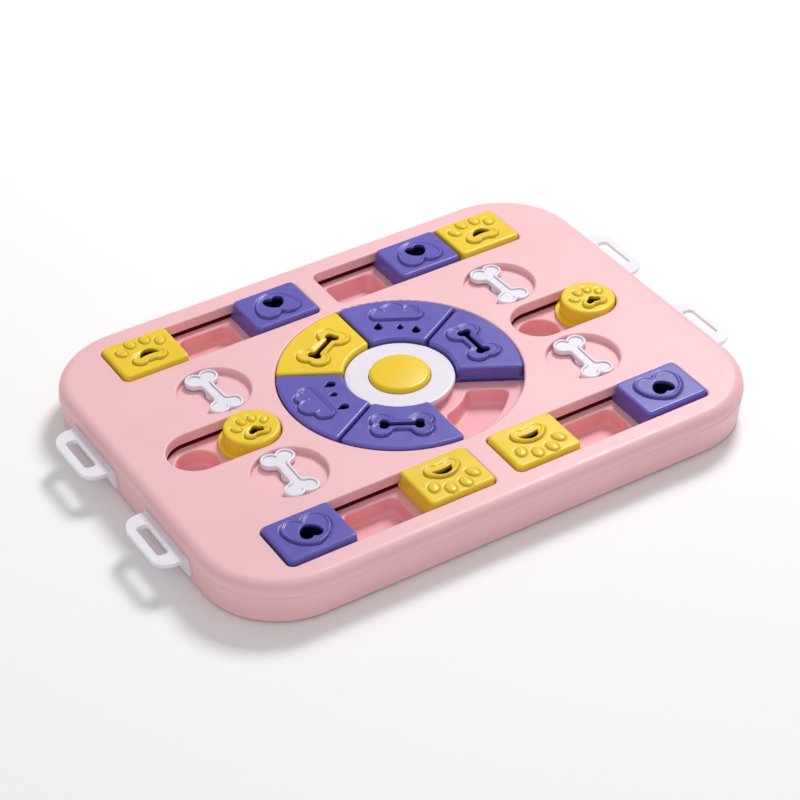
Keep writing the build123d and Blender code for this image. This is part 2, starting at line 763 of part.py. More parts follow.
with BuildSketch() as drop_sketch:
    for drop_r, drop_t, drop_scale in drop_sites:
        with Locations((wedge_middle + drop_r * across, drop_t * across)):
            add(teardrop(2.3 * drop_scale * across, 4.6 * drop_scale * across))
drop_holes = drop_sketch.sketch
with BuildSketch() as cloud_sketch:
    with Locations((wedge_middle + 6.7 * across, 0.5)):
        add(cloud_raised)
bone_place = Location((wedge_middle - 1.3 * across, 0, 0), (0, 0, 90))
with BuildSketch() as bone_sketch:
    with Locations(bone_place):
        add(bone_raised)
with BuildSketch() as bone_hole_sketch:
    with Locations(bone_place):
        add(bone_hole)


def wedge_body(raised, holes):
    """Hollow wedge on wide flanges, with a raised ornament and holes through its top."""
    with BuildPart() as body:
        with BuildSketch(Plane.XY.offset(slide_z)):
            add(wedge_flange)
        extrude(amount=flange_thickness)
        with BuildSketch(Plane.XY.offset(flange_z)):
            add(wedge_outline)
        extrude(amount=wedge_top - flange_z)
        upright = body.edges().filter_by(Axis.Z).filter_by(lambda e: e.length > wedge_top - flange_z - 0.1)
        fillet(upright, wedge_corner)
        fillet(body.faces().sort_by(Axis.Z)[-1].edges(), top_round)
        with BuildSketch(Plane.XY.offset(wedge_top)):
            add(raised)
        extrude(amount=relief_height)
        with BuildSketch(Plane.XY.offset(slide_z)):
            add(wedge_hollow)
        extrude(amount=wedge_top - tile_wall - slide_z, mode=Mode.SUBTRACT)
        with BuildSketch(Plane.XY.offset(wedge_top - tile_wall)):
            add(holes)
        extrude(amount=tile_wall + relief_height, mode=Mode.SUBTRACT)
    return body.part


cloud_wedge = wedge_body(cloud_sketch.sketch, drop_holes)
bone_wedge = wedge_body(bone_sketch.sketch, bone_hole_sketch.sketch)
wedge_sites = (
    ("wedge_cloud_far", cloud_wedge, 60.0),
    ("wedge_bone_yellow", bone_wedge, 120.0),
    ("wedge_cloud_left", cloud_wedge, 180.0),
    ("wedge_bone_near", bone_wedge, 240.0),
    ("wedge_bone_right", bone_wedge, 0.0),
)
for label, body, place in wedge_sites:
    with BuildPart() as wedge:
        with Locations(Location((0, 0, 0), (0, 0, place))):
            add(body)
    wedge.part.label = label
    export_step(wedge.part, f"parts/{label}.step")

# ---------------------------------------------------------------- hub disc, button and squeaker
spigot_radius = hub_radius - hub_wall - disc_spigot_fit
with BuildPart() as hub_disc:
    with BuildSketch(Plane.XY.offset(disc_under)):
        Circle(hub_disc_radius)
    extrude(amount=disc_thickness)
    fillet(hub_disc.faces().sort_by(Axis.Z)[-1].edges(), disc_round)
    with BuildSketch(Plane.XY.offset(disc_under - disc_spigot_depth)):
        Circle(spigot_radius)
        Circle(spigot_radius - disc_spigot_wall, mode=Mode.SUBTRACT)
    extrude(amount=disc_spigot_depth)
    with BuildSketch(Plane.XY.offset(disc_under)):
        Circle(button_radius + button_fit)
    extrude(amount=disc_thickness, mode=Mode.SUBTRACT)
    fillet(hub_disc.edges().filter_by(GeomType.CIRCLE).group_by(Axis.Z)[-1].sort_by(SortBy.RADIUS)[0], disc_round / 2)
hub_disc.part.label = "hub_disc"
export_step(hub_disc.part, "parts/hub_disc.step")

button_edge = disc_top + button_edge_rise
button_flange_top = disc_under - 0.1
button_seat = button_edge - button_wall
dome_radius = (button_radius ** 2 + button_dome ** 2) / (2 * button_dome)
with BuildPart() as squeak_button:
    with BuildSketch(Plane.XY.offset(button_flange_top - button_flange_thickness)):
        Circle(button_radius + button_flange_reach)
    extrude(amount=button_flange_thickness)
    with BuildSketch(Plane.XZ) as dome_profile:
        with BuildLine():
            Line((0, button_flange_top), (button_radius, button_flange_top))
            Line((button_radius, button_flange_top), (button_radius, button_edge))
            RadiusArc((button_radius, button_edge), (0, button_edge + button_dome), -dome_radius)
            Line((0, button_edge + button_dome), (0, button_flange_top))
        make_face()
    revolve(axis=Axis.Z)
    crown = squeak_button.edges().filter_by(GeomType.CIRCLE)
    fillet(crown.filter_by(lambda e: abs(e.center().Z - button_edge) < 0.01), button_edge_round)
    with BuildSketch(Plane.XY.offset(button_flange_top - button_flange_thickness)):
        Circle(button_radius - button_wall)
    extrude(amount=button_seat - button_flange_top + button_flange_thickness, mode=Mode.SUBTRACT)
squeak_button.part.label = "squeak_button"
export_step(squeak_button.part, "parts/squeak_button.step")

# rubber bulb: three folds between a foot on the tray floor and a neck inside the button
bulb_gap = 0.3
bulb_bottom = pocket_floor + 0.02
bulb_top = button_seat - 0.02
fold_reach = 1.8
fold_count = 3
fold_pitch = (bulb_top - bulb_bottom - 3.0) / fold_count
bulb_points = [(0, bulb_bottom), (bulb_radius - 2, bulb_bottom), (bulb_radius - 2, bulb_bottom + 1.5)]
for fold in range(fold_count):
    bulb_points.append((bulb_radius, bulb_bottom + 1.5 + (fold + 0.5) * fold_pitch))
    bulb_points.append((bulb_radius - fold_reach, bulb_bottom + 1.5 + (fold + 1) * fold_pitch))
bulb_points += [(bulb_radius - fold_reach, bulb_top), (0, bulb_top)]
with BuildPart() as squeaker_bulb:
    with BuildSketch(Plane.XZ):
        with BuildLine():
            Polyline(*bulb_points, bulb_points[0])
        make_face()
    revolve(axis=Axis.Z)
    with BuildSketch(Plane.XY.offset(bulb_bottom)):
        Circle(bulb_radius - fold_reach - 1.5)
    extrude(amount=bulb_top - bulb_bottom - 1.5, mode=Mode.SUBTRACT)
squeaker_bulb.part.label = "squeaker_bulb"
export_step(squeaker_bulb.part, "parts/squeaker_bulb.step")

# reed insert that stands on the tray floor inside the bulb
with BuildPart() as squeaker_reed:
    with BuildSketch(Plane.XY.offset(pocket_floor)):
        Circle(reed_radius)
    extrude(amount=1.2)
    with BuildSketch(Plane.XY.offset(pocket_floor + 1.2)):
        Circle(reed_radius - 1.0)
        Rectangle(0.8, 2 * reed_radius - 3.0, mode=Mode.SUBTRACT)
    extrude(amount=reed_height - 1.2)
squeaker_reed.part.label = "squeaker_reed"
export_step(squeaker_reed.part, "parts/squeaker_reed.step")

# ---------------------------------------------------------------- turning bones and their washers
bone_bottom = recess_floor + bone_hover
bone_top = bone_bottom + bone_thickness
bone_half_length = recess_radius - bone_end_gap
bone_plan = bone(2 * bone_half_length, bone_shaft_width, bone_lobe_radius, bone_lobe_spread, 5.0)
bone_dish_plan = bone(2 * (bone_half_length - bone_rim), bone_shaft_width - 2 * bone_rim,
                      bone_lobe_radius - bone_rim, bone_lobe_spread, 4.0)
washer_top = recess_under - washer_fit
stem_bottom = washer_top - washer_thickness
for sx, sy in corners:
    row = "far" if sy > 0 else "near"
    side = "right" if sx > 0 else "left"
    place = Location((sx * recess_x, sy * recess_y, 0), (0, 0, 90 + sy * bone_lean))
    with BuildPart() as bone_knob:
        with BuildSketch(Plane.XY.offset(bone_bottom)):
            with Locations(place):
                add(bone_plan)
        extrude(amount=bone_thickness)
        with BuildSketch(Plane.XY.offset(bone_top - bone_dish)):
            with Locations(place):
                add(bone_dish_plan)
        extrude(amount=bone_dish, mode=Mode.SUBTRACT)
        with BuildSketch(Plane.XY.offset(recess_under)):
            with Locations(place):
                Circle(barrel_radius)
        extrude(amount=bone_bottom - recess_under)
        with BuildSketch(Plane.XY.offset(stem_bottom)):
            with Locations(place):
                Circle(stem_radius)
        extrude(amount=recess_under - stem_bottom)
    bone_knob.part.label = f"bone_{row}_{side}"
    export_step(bone_knob.part, f"parts/bone_{row}_{side}.step")
    with BuildPart() as washer:
        with BuildSketch(Plane.XY.offset(stem_bottom)):
            with Locations(place):
                Circle(washer_radius)
                Circle(stem_radius, mode=Mode.SUBTRACT)
        extrude(amount=washer_thickness)
    washer.part.label = f"bone_washer_{row}_{side}"
    export_step(washer.part, f"parts/bone_washer_{row}_{side}.step")

# ---------------------------------------------------------------- drawers
loop_top = front_top - loop_inset
with BuildSketch() as loop_sketch:
    RectangleRounded(2 * loop_reach, loop_width, loop_corner)
    with Locations((loop_reach / 2, 0)):
        Rectangle(loop_reach, loop_width, mode=Mode.INTERSECT)
    with Locations((finger_bar + finger_depth / 2, 0)):
        RectangleRounded(finger_depth, finger_width, finger_corner, mode=Mode.SUBTRACT)
loop_outline = loop_sketch.sketch
for sx, sy in corners:
    row = "far" if sy > 0 else "near"
    side = "right" if sx > 0 else "left"
    place = Location((0, sy * drawer_y, 0), (0, 0, 0 if sx > 0 else 180))
    with BuildPart() as drawer:
        with BuildSketch(Plane.XY.offset(front_bottom)):
            with Locations(place):
                with Locations((front_outer - front_thickness / 2, 0)):
                    Rectangle(front_thickness, front_width)
        extrude(amount=front_top - front_bottom)
        with BuildSketch(Plane.XY.offset(drawer_floor_z)):
            with Locations(place):
                with Locations((front_inner - drawer_depth / 2, 0)):
                    Rectangle(drawer_depth, drawer_width)
                with Locations((box_back + drawer_ear_length / 2, 0)):
                    Rectangle(drawer_ear_length, drawer_width + 2 * drawer_ear)
        extrude(amount=box_top - drawer_floor_z)
        with BuildSketch(Plane.XY.offset(drawer_floor_z + drawer_wall)):
            with Locations(place):
                with Locations((front_inner - drawer_depth / 2, 0)):
                    add(rounded(drawer_depth - 2 * drawer_wall, drawer_width - 2 * drawer_wall, 2.0))
        extrude(amount=box_top - drawer_floor_z, mode=Mode.SUBTRACT)
        # loop for a finger or a nose
        with BuildSketch(Plane.XY.offset(loop_top - loop_thickness)):
            with Locations(place):
                with Locations((front_outer, 0)):
                    add(loop_outline)
        extrude(amount=loop_thickness)
    drawer.part.label = f"drawer_{row}_{side}"
    export_step(drawer.part, f"parts/drawer_{row}_{side}.step")

# ---------------------------------------------------------------- feet and screws
for sx, sy in corners:
    row = "far" if sy > 0 else "near"
    side = "right" if sx > 0 else "left"
    with BuildPart() as foot:
        with BuildSketch():
            with Locations((sx * foot_x, sy * foot_y)):
                Circle(foot_radius)
        extrude(amount=foot_stand + foot_seat)
        chamfer(foot.faces().sort_by(Axis.Z)[0].edges(), 0.5)
    foot.part.label = f"rubber_foot_{row}_{side}"
    export_step(foot.part, f"parts/rubber_foot_{row}_{side}.step")

with BuildPart() as housing_screws:
    with BuildSketch(Plane.XY.offset(screw_seat - screw_head_height)):
        with Locations(*screw_places):
            Circle(screw_head_radius)
    extrude(amount=screw_head_height)
    with BuildSketch(Plane.XY.offset(screw_seat)):
        with Locations(*screw_places):
            Circle(screw_radius)
    extrude(amount=screw_length)
housing_screws.part.label = "housing_screws"
export_step(housing_screws.part, "parts/housing_screws.step")
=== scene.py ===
# %% [markdown]
# # A puzzle feeder board, dressed for its portrait
#
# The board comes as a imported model: its shells, troughs, tiles, wedges, bones and drawers are already
# in place, in metres, with +Z up and the origin on the floor under its middle. Those meshes are right
# in size, but a moulded toy is all soft edges and pillowy ornaments. This file gives every piece its
# plastic, makes the tiles, wedges, sliders, bones, button and screws again as finer surfaces, and sets
# up the light and the camera.

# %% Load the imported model
import bpy
import json
import numpy as np
from math import radians, degrees, pi, sin, cos, tan, sqrt, acos
from mathutils import Matrix, Vector


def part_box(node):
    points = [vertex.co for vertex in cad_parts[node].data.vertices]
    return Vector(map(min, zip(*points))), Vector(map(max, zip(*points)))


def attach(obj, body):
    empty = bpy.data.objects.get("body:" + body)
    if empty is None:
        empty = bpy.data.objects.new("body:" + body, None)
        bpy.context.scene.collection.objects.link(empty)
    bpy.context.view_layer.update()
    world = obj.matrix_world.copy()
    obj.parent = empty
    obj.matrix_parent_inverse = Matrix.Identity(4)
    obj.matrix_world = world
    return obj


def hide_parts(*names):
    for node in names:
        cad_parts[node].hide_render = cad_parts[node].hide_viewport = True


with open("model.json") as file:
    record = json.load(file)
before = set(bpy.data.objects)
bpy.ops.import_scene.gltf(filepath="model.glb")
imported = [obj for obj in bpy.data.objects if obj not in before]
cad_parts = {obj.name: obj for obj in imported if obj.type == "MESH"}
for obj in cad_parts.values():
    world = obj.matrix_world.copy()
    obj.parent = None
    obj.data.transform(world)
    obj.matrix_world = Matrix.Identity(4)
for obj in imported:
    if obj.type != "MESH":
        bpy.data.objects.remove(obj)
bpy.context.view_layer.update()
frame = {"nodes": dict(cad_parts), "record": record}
nodes = frame["nodes"]
record = frame["record"]
print("pieces in the packed model:", len(nodes))

# %% [markdown]
# ## Millimetres and metres
#
# A toy is thought of in millimetres, and Blender's scene is in metres. The surfaces below are worked
# out in millimetres and made smaller once, when they become meshes. Scaling the finished objects would
# do the same, but then every object would carry a scale that all later steps have to remember. The
# sizes of the windows are named here, because the painted shade under their lips and the wedges both
# depend on them.

# %% Units, windows and flanges
mm = 0.001
slot_half = (63.7, 17.5)
stadium_straight_half, stadium_radius = 17.05, 16.7
well_radius = 70.25
flange_reach, flange_thickness = 2.6, 2.4


def box_mm(name):
    """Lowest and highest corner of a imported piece, in millimetres."""
    return [np.array(corner) * 1000 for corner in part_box(name)]


def middle_mm(name):
    """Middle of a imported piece, in millimetres: half the sum of its two corners."""
    return (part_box(name)[0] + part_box(name)[1]) * 500


print("well", 2 * well_radius, "mm across, slot windows", 2 * slot_half[0], "x", 2 * slot_half[1], "mm")

# %% [markdown]
# ## Plastic that is never one flat colour
#
# Injection-moulded ABS has a satin skin: a very fine grain from the polished and then blasted mould, a
# slow drift of colour where the melt flowed, and patches that hands and paws have rubbed a little
# glossier. A picture of such a skin could be wrapped round each piece, but it would need unwrapping and
# would stretch on the sides. Noise needs neither: one helper builds all of it, read on Object
# coordinates so that it stays where it is on each piece. Colour is mixed from two close tones,
# roughness from a slow noise, and the grain goes into a weak bump.
#
# The finer surfaces made below also carry a number at each point, an attribute named *shade*. Below
# zero the plastic is paler, a painted highlight on crests and edges. Above zero it is darker, a painted
# shade in grooves and holes. A mesh without that attribute reads as zero and keeps its plain tone.

# %% Helpers for shader nodes
def linear(red, green, blue):
    """A display colour of 0 to 255 as the linear light that shaders work in: c over 12.92 in the dark, and
    (c + 0.055) / 1.055 to the power of 2.4 above that."""
    c = np.array([red, green, blue]) / 255
    low = c / 12.92
    high = ((c + 0.055) / 1.055) ** 2.4
    return tuple(np.where(c <= 0.04045, low, high).tolist())


def node(tree, kind, **values):
    """One shader node, with its properties or input values set by name."""
    made = tree.nodes.new(kind)
    for key, value in values.items():
        if key in made.inputs:
            made.inputs[key].default_value = value
        else:
            setattr(made, key, value)
    return made


def ranged(tree, value, start, end, low, high):
    """Map Range node: the stretch from start to end becomes the stretch from low to high."""
    made = node(tree, "ShaderNodeMapRange")
    for socket, number in (("From Min", start), ("From Max", end), ("To Min", low), ("To Max", high)):
        made.inputs[socket].default_value = number
    tree.links.new(value, made.inputs["Value"])
    return made.outputs["Result"]


def covered(tree, colour, share, cover):
    """Mix node: one minus the share times the colour, plus the share times a fixed cover colour."""
    made = node(tree, "ShaderNodeMix", data_type="RGBA")
    made.inputs["B"].default_value = (*cover, 1)
    tree.links.new(share, made.inputs["Factor"])
    tree.links.new(colour, made.inputs["A"])
    return made.outputs["Result"]


print("purple of 98, 88, 180 as linear light:", [round(c, 3) for c in linear(98, 88, 180)])

# %% A recipe for moulded plastic
# Largest share of the painted highlight on crests and edges.
painted_highlight_share = 0.42
tone_stops = (0.34, 0.68)
rub_stops = (0.35, 0.65)


def moulded_plastic(name, tone, drift=0.05, roughness=(0.36, 0.46), grain=0.10, grain_size=0.0005,
                    specular=0.45, translucent=0.0, alpha=1.0):
    """Satin plastic: two close tones mixed by slow noise, a painted highlight on crests and painted shade in
    hollows by the attribute, rubbed patches in the roughness, fine grain in the bump."""
    material = bpy.data.materials.new(name)
    material.use_nodes = True
    tree = material.node_tree
    shader = tree.nodes["Principled BSDF"]
    place = node(tree, "ShaderNodeTexCoord")
    flow = node(tree, "ShaderNodeTexNoise", Scale=22.0, Detail=3.0, Roughness=0.55)
    rub = node(tree, "ShaderNodeTexNoise", Scale=70.0, Detail=4.0, Roughness=0.6)
    fine = node(tree, "ShaderNodeTexNoise", Scale=0.4 / grain_size, Detail=2.0, Roughness=0.5)
    for texture in (flow, rub, fine):
        tree.links.new(place.outputs["Object"], texture.inputs["Vector"])

    tones = node(tree, "ShaderNodeValToRGB")
    for element, stop, strength in zip(tones.color_ramp.elements, tone_stops, (1 - drift, 1 + drift / 2)):
        element.position = stop
        element.color = (*[min(1, c * strength) for c in tone], 1)
    tree.links.new(flow.outputs["Fac"], tones.inputs["Fac"])
    # The shade attribute mixes a painted highlight (below zero) and painted shade (above zero) into the base
    # colour.
    shade = node(tree, "ShaderNodeAttribute", attribute_name="shade").outputs["Fac"]
    crest = ranged(tree, shade, 0.0, -1.0, 0.0, painted_highlight_share)
    paler = covered(tree, tones.outputs["Color"], crest, [min(1.0, 1.55 * c + 0.05) for c in tone])
    darker = covered(tree, paler, shade, [c * c * 0.25 for c in tone])
    tree.links.new(darker, shader.inputs["Base Color"])

    tree.links.new(ranged(tree, rub.outputs["Fac"], *rub_stops, *roughness), shader.inputs["Roughness"])
    relief = node(tree, "ShaderNodeBump", Strength=grain, Distance=grain_size * 0.4)
    tree.links.new(fine.outputs["Fac"], relief.inputs["Height"])
    tree.links.new(relief.outputs["Normal"], shader.inputs["Normal"])
    shader.inputs["Specular IOR Level"].default_value = specular
    shader.inputs["Alpha"].default_value = alpha
    if translucent:
        shader.inputs["Subsurface Weight"].default_value = translucent
        shader.inputs["Subsurface Radius"].default_value = (0.004, 0.004, 0.004)
        shader.inputs["Subsurface Scale"].default_value = 1.0
    return material


print("tones blend between noise values", tone_stops, "and crests turn paler by up to", painted_highlight_share)

# %% [markdown]
# ## The finishes of this toy
#
# Pastel pink for the two shells, a slightly deeper rose for the troughs between them (a separate
# moulding, and the deeper tone is what makes the pockets read), strong purple and yellow for everything
# a dog can push, glossy white for the bones and the disc, milky white for the drawers, and dark or pale
# rubber and zinc for what is underneath. Each could be a node tree of its own. They are all the same
# recipe with other numbers, so one dictionary holds them, named as the record names its materials.

# %% Finishes, one for each material of the record
finish = {
    "shell_pink": moulded_plastic("pink_satin_plastic", linear(243, 192, 197), 0.03),
    "trough_rose": moulded_plastic("rose_satin_plastic", linear(246, 180, 186), 0.04),
    "tile_purple": moulded_plastic("purple_satin_plastic", linear(98, 88, 180), 0.06, (0.26, 0.36)),
    "tile_yellow": moulded_plastic("yellow_satin_plastic", linear(244, 206, 40), 0.05, (0.26, 0.36)),
    "fitting_white": moulded_plastic("white_gloss_plastic", linear(236, 230, 241), 0.02, (0.24, 0.34), 0.06),
    "drawer_clear": moulded_plastic("milky_plastic", linear(244, 241, 248), 0.02, (0.22, 0.32), 0.05,
                                    translucent=0.15, alpha=0.92),
    "bulb_rubber": moulded_plastic("pale_rubber", linear(226, 222, 214), 0.06, (0.55, 0.7), 0.2, 0.0008, 0.3),
    "foot_rubber": moulded_plastic("dark_rubber", linear(52, 52, 54), 0.15, (0.6, 0.8), 0.3, 0.0008, 0.3),
    "screw_steel": moulded_plastic("zinc_plate", linear(196, 198, 204), 0.10, (0.25, 0.4), 0.1, 0.0004),
}
zinc = finish["screw_steel"].node_tree.nodes["Principled BSDF"]
zinc.inputs["Metallic"].default_value = 1.0
print("finishes:", len(finish))

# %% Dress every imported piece
slot_of = {piece["node"]: piece["material_slot"] for piece in record["subparts"]}
for name, slot in slot_of.items():
    deeper = name.startswith(("slot_trough", "round_trough", "ring_trough", "hub_post"))
    mesh = nodes[name].data
    mesh.materials.clear()
    mesh.materials.append(finish["trough_rose" if deeper else slot])
print("pieces dressed:", len(slot_of))

# %% [markdown]
# ## The red line under the lips
#
# The panel's lips turn down round every window and leave a low channel, in which the flanges of the
# tiles run. On the toy that channel reads as a deep red line, because the little light in it has
# bounced off rose plastic again and again. A render needs very many bounces for that, so the troughs
# get a painted shade there. Painting the points of the mesh won't do, since a flat deck has hardly any.
# The place is enough: maths nodes work out how far a point lies inside the nearest window, and the
# painted shade sets in where that distance drops below zero.

# %% Painted shade by the distance from the windows
# Width over which the painted shade under the lips fades in.
painted_shade_fade = 0.4
rose = finish["trough_rose"].node_tree


def maths(operation, *values):
    """One maths node of the rose plastic. A value is a number or another node's output."""
    made = node(rose, "ShaderNodeMath", operation=operation)
    for socket, value in zip(made.inputs, values):
        if isinstance(value, (int, float)):
            socket.default_value = value
        else:
            rose.links.new(value, socket)
    return made.outputs[0]


def hypotenuse(u, v):
    """Square root of u squared plus v squared."""
    return maths("SQRT", maths("ADD", maths("POWER", u, 2.0), maths("POWER", v, 2.0)))


def away(value, middle):
    """Size of the difference between a value and a middle."""
    return maths("ABSOLUTE", maths("SUBTRACT", value, middle))


place = node(rose, "ShaderNodeSeparateXYZ")
rose.links.new(rose.nodes["Texture Coordinate"].outputs["Object"], place.inputs["Vector"])
side_x, side_y = [maths("ABSOLUTE", place.outputs[axis]) for axis in "XY"]
slot_middle = middle_mm("slot_trough_far_right") * mm
stadium_middle = middle_mm("round_trough_right") * mm
in_slot = maths("MINIMUM", maths("SUBTRACT", slot_half[0] * mm, away(side_x, slot_middle.x)),
                maths("SUBTRACT", slot_half[1] * mm, away(side_y, slot_middle.y)))
past_straight = maths("SUBTRACT", away(side_x, stadium_middle.x), stadium_straight_half * mm)
in_stadium = maths("SUBTRACT", stadium_radius * mm, hypotenuse(maths("MAXIMUM", past_straight, 0.0), side_y))
in_well = maths("SUBTRACT", well_radius * mm, hypotenuse(side_x, side_y))
in_window = maths("MAXIMUM", maths("MAXIMUM", in_slot, in_stadium), in_well)
under_lip = ranged(rose, in_window, 0.0, -painted_shade_fade * mm, 0.0, 1.0)
# Deep red painted shade under the lips, where the channel lies in shadow.
lip_painted_shade = covered(rose, rose.nodes["Color Ramp"].outputs["Color"], under_lip, linear(120, 22, 30))
rose.links.new(lip_painted_shade, rose.nodes["Principled BSDF"].inputs["Base Color"])
print("maths nodes in the rose plastic:", sum(n.type == "MATH" for n in rose.nodes))

# %% [markdown]
# ## Outlines as distances
#
# Every ornament is a flat outline that has been raised or cut through. It could be drawn as a curve and
# bevelled, but then a raised edge can't change its height and a hole needs a boolean. Describing an
# outline by its *inside distance* (positive inside, zero on the line, negative outside) makes all that
# follows easy: a raised heart is a height that depends on that distance, a hole is where another
# distance is positive, and a union of two outlines is the larger of the two distances. Each helper
# takes whole arrays of points.

# %% Inside distances of simple outlines
def disc(x, y, cx, cy, r):
    """Radius minus the distance from the centre."""
    return r - np.hypot(x - cx, y - cy)


def bar(x, y, half_x, half_y, corner):
    """Rounded rectangle: corner radius minus the distance from the rectangle between the corners' centres."""
    dx = np.abs(x) - (half_x - corner)
    dy = np.abs(y) - (half_y - corner)
    return corner - np.hypot(np.maximum(dx, 0), np.maximum(dy, 0)) - np.minimum(np.maximum(dx, dy), 0)


def oval(x, y, cx, cy, long_half, short_half, turn):
    """Ellipse, turned by an angle: one minus its radius in ellipse units, times that radius over the length
    of its gradient."""
    c, s = cos(radians(turn)), sin(radians(turn))
    u = ((x - cx) * c + (y - cy) * s) / short_half
    v = (-(x - cx) * s + (y - cy) * c) / long_half
    k = np.hypot(u, v) + 1e-9
    return (1 - k) * k / (np.hypot(u / short_half, v / long_half) + 1e-9)


def nowhere(x, y):
    """Outline with no inside, for a piece without a hole: a distance far below zero at every point."""
    return np.full(x.shape, -50.0)


def merged(a, b, k):
    """Union of two outlines: the larger distance, plus up to a quarter of k where the two are nearly equal,
    which rounds the corner between them."""
    h = np.clip(0.5 + 0.5 * (a - b) / k, 0, 1)
    return b + (a - b) * h + k * h * (1 - h)


def chain(x, y, points):
    """Closed chain of points: distance to the nearest stretch, with the sign from counting crossings."""
    a = np.asarray(points, float)
    b = np.roll(a, -1, axis=0)
    run = b - a
    px = x.reshape(-1, 1) - a[:, 0]
    py = y.reshape(-1, 1) - a[:, 1]
    along = np.clip((px * run[:, 0] + py * run[:, 1]) / (run ** 2).sum(1), 0, 1)
    off = np.hypot(px - along * run[:, 0], py - along * run[:, 1]).min(1)
    above = (a[:, 1] <= y.reshape(-1, 1)) != (b[:, 1] <= y.reshape(-1, 1))
    lean_of_run = run[:, 0] / np.where(run[:, 1] == 0, 1e-9, run[:, 1])
    crossed = above & (px < py * lean_of_run)
    sign = np.where(crossed.sum(1) % 2 == 1, 1, -1)
    return (sign * off).reshape(x.shape)


print("a point 3 mm off the middle of a 5 mm disc is", disc(3.0, 0.0, 0, 0, 5.0), "mm inside")

# %% [markdown]
# ## Hearts, bones, clouds and drops
#
# The heart is four arcs: two round lobes and two full flanks. The bone is a bar with two discs at each
# end, the cloud a row of discs on a flat base, the drop a disc with a point, the smile a big disc minus
# a bigger one. Tracing such shapes by hand gives lumpy lines with points to spare. A few arcs give
# clean ones, and their sizes can still be changed.

# %% Ornament outlines
def arc(centre, radius, start, end, count=24):
    """Points along a circular arc: centre plus radius times cosine and sine of an angle that runs evenly."""
    t = np.radians(np.linspace(start, end, count))
    return np.stack([centre[0] + radius * np.cos(t), centre[1] + radius * np.sin(t)], 1)


def heart_points(width, height):
    """Right flank, right lobe, left lobe, left flank, as arcs that meet smoothly beside the lobes."""
    lobe = 0.27 * width
    lobe_x, lobe_y = width / 2 - lobe, height / 2 - lobe
    flank = ((width / 2) ** 2 + (height - lobe) ** 2) / width
    sweep = degrees(np.arctan2(height - lobe, flank - width / 2))
    cleft = degrees(np.arctan2(sqrt(lobe ** 2 - lobe_x ** 2), -lobe_x))
    right = np.vstack([arc((width / 2 - flank, lobe_y), flank, -sweep, 0, 32)[:-1],
                       arc((lobe_x, lobe_y), lobe, 0, cleft, 24)])
    left = right[-2:0:-1] * (-1, 1)
    return np.vstack([right, left])


def drop_points(radius, tip):
    """A round drop about its centre with two tangents that meet at the tip, towards +X."""
    touch = degrees(acos(radius / tip))
    return np.vstack([[(tip, 0)], arc((0, 0), radius, touch, 360 - touch, 28)])


def bone(x, y, length, shaft, lobe, spread, neck):
    """Bar along X merged with two discs at each end."""
    reach = length / 2 - lobe
    ends = disc(np.abs(x), np.abs(y), reach, spread, lobe)
    return merged(bar(x, y, reach, shaft / 2, 0.3), ends, neck)


def cloud(x, y, length, depth):
    """Flat base on the -X side and three bumps on the +X side, with its length along Y."""
    small, middle, base = 0.27 * depth, 0.44 * depth, -depth / 2
    body = bar(x - base - small, y, small, length / 2, small)
    body = merged(body, disc(x, y, depth / 2 - middle, 0.04 * length, middle), 0.8)
    body = merged(body, disc(x, y, 0.06 * depth, -0.25 * length, 0.30 * depth), 0.8)
    return merged(body, disc(x, y, -0.08 * depth, 0.33 * length, 0.27 * depth), 0.8)


def paw_pad(x, y, width, height):
    """Oval pad merged with two round heels."""
    pad = oval(x, y, 0, 0, 0.48 * height, 0.40 * width, 0)
    heels = disc(np.abs(x), y, 0.27 * width, -0.18 * height, 0.23 * width)
    return merged(pad, heels, 0.8)


def smile(x, y, length, height):
    """Inside the deep arc and outside the flat one, both through the same two points."""
    deep = ((length / 2) ** 2 + height ** 2) / (2 * height)
    shallow_rise = 0.15 * height
    flat = ((length / 2) ** 2 + shallow_rise ** 2) / (2 * shallow_rise)
    return np.minimum(disc(x, y, 0, height - deep, deep), -disc(x, y, 0, shallow_rise - flat, flat))


print("a heart's chain has", len(heart_points(27.0, 23.5)), "points and a drop's", len(drop_points(2.5, 5.0)))

# %% [markdown]
# ## One sheet, cut to an outline
#
# A raised ornament is a height over the plane, so the natural surface is a fine square grid. A
# displaced plane with a boolean cut would be the usual way, but it leaves a ragged, hard edge. Here the
# grid points nearest to each outline are slid onto it, along the slope of the distance, and only cells
# that lie inside are kept, so the edge of the sheet is as clean as the outline itself.

# %% Cutting a grid to an outline
def slope(distance, x, y, h=1e-3):
    """Unit direction in which the distance grows, by central differences."""
    gx = distance(x + h, y) - distance(x - h, y)
    gy = distance(x, y + h) - distance(x, y - h)
    size = np.hypot(gx, gy) + 1e-12
    return gx / size, gy / size


def without_slivers(distance, x, y, cells, edge, step):
    """Cells without those that have each corner on the outline and their middle outside it, or nearly: less
    than 0.08 of a step inside."""
    thin = np.flatnonzero(edge[cells].all(1))
    middle = distance(x[cells[thin]].mean(1), y[cells[thin]].mean(1))
    return np.delete(cells, thin[middle < 0.08 * step], axis=0)


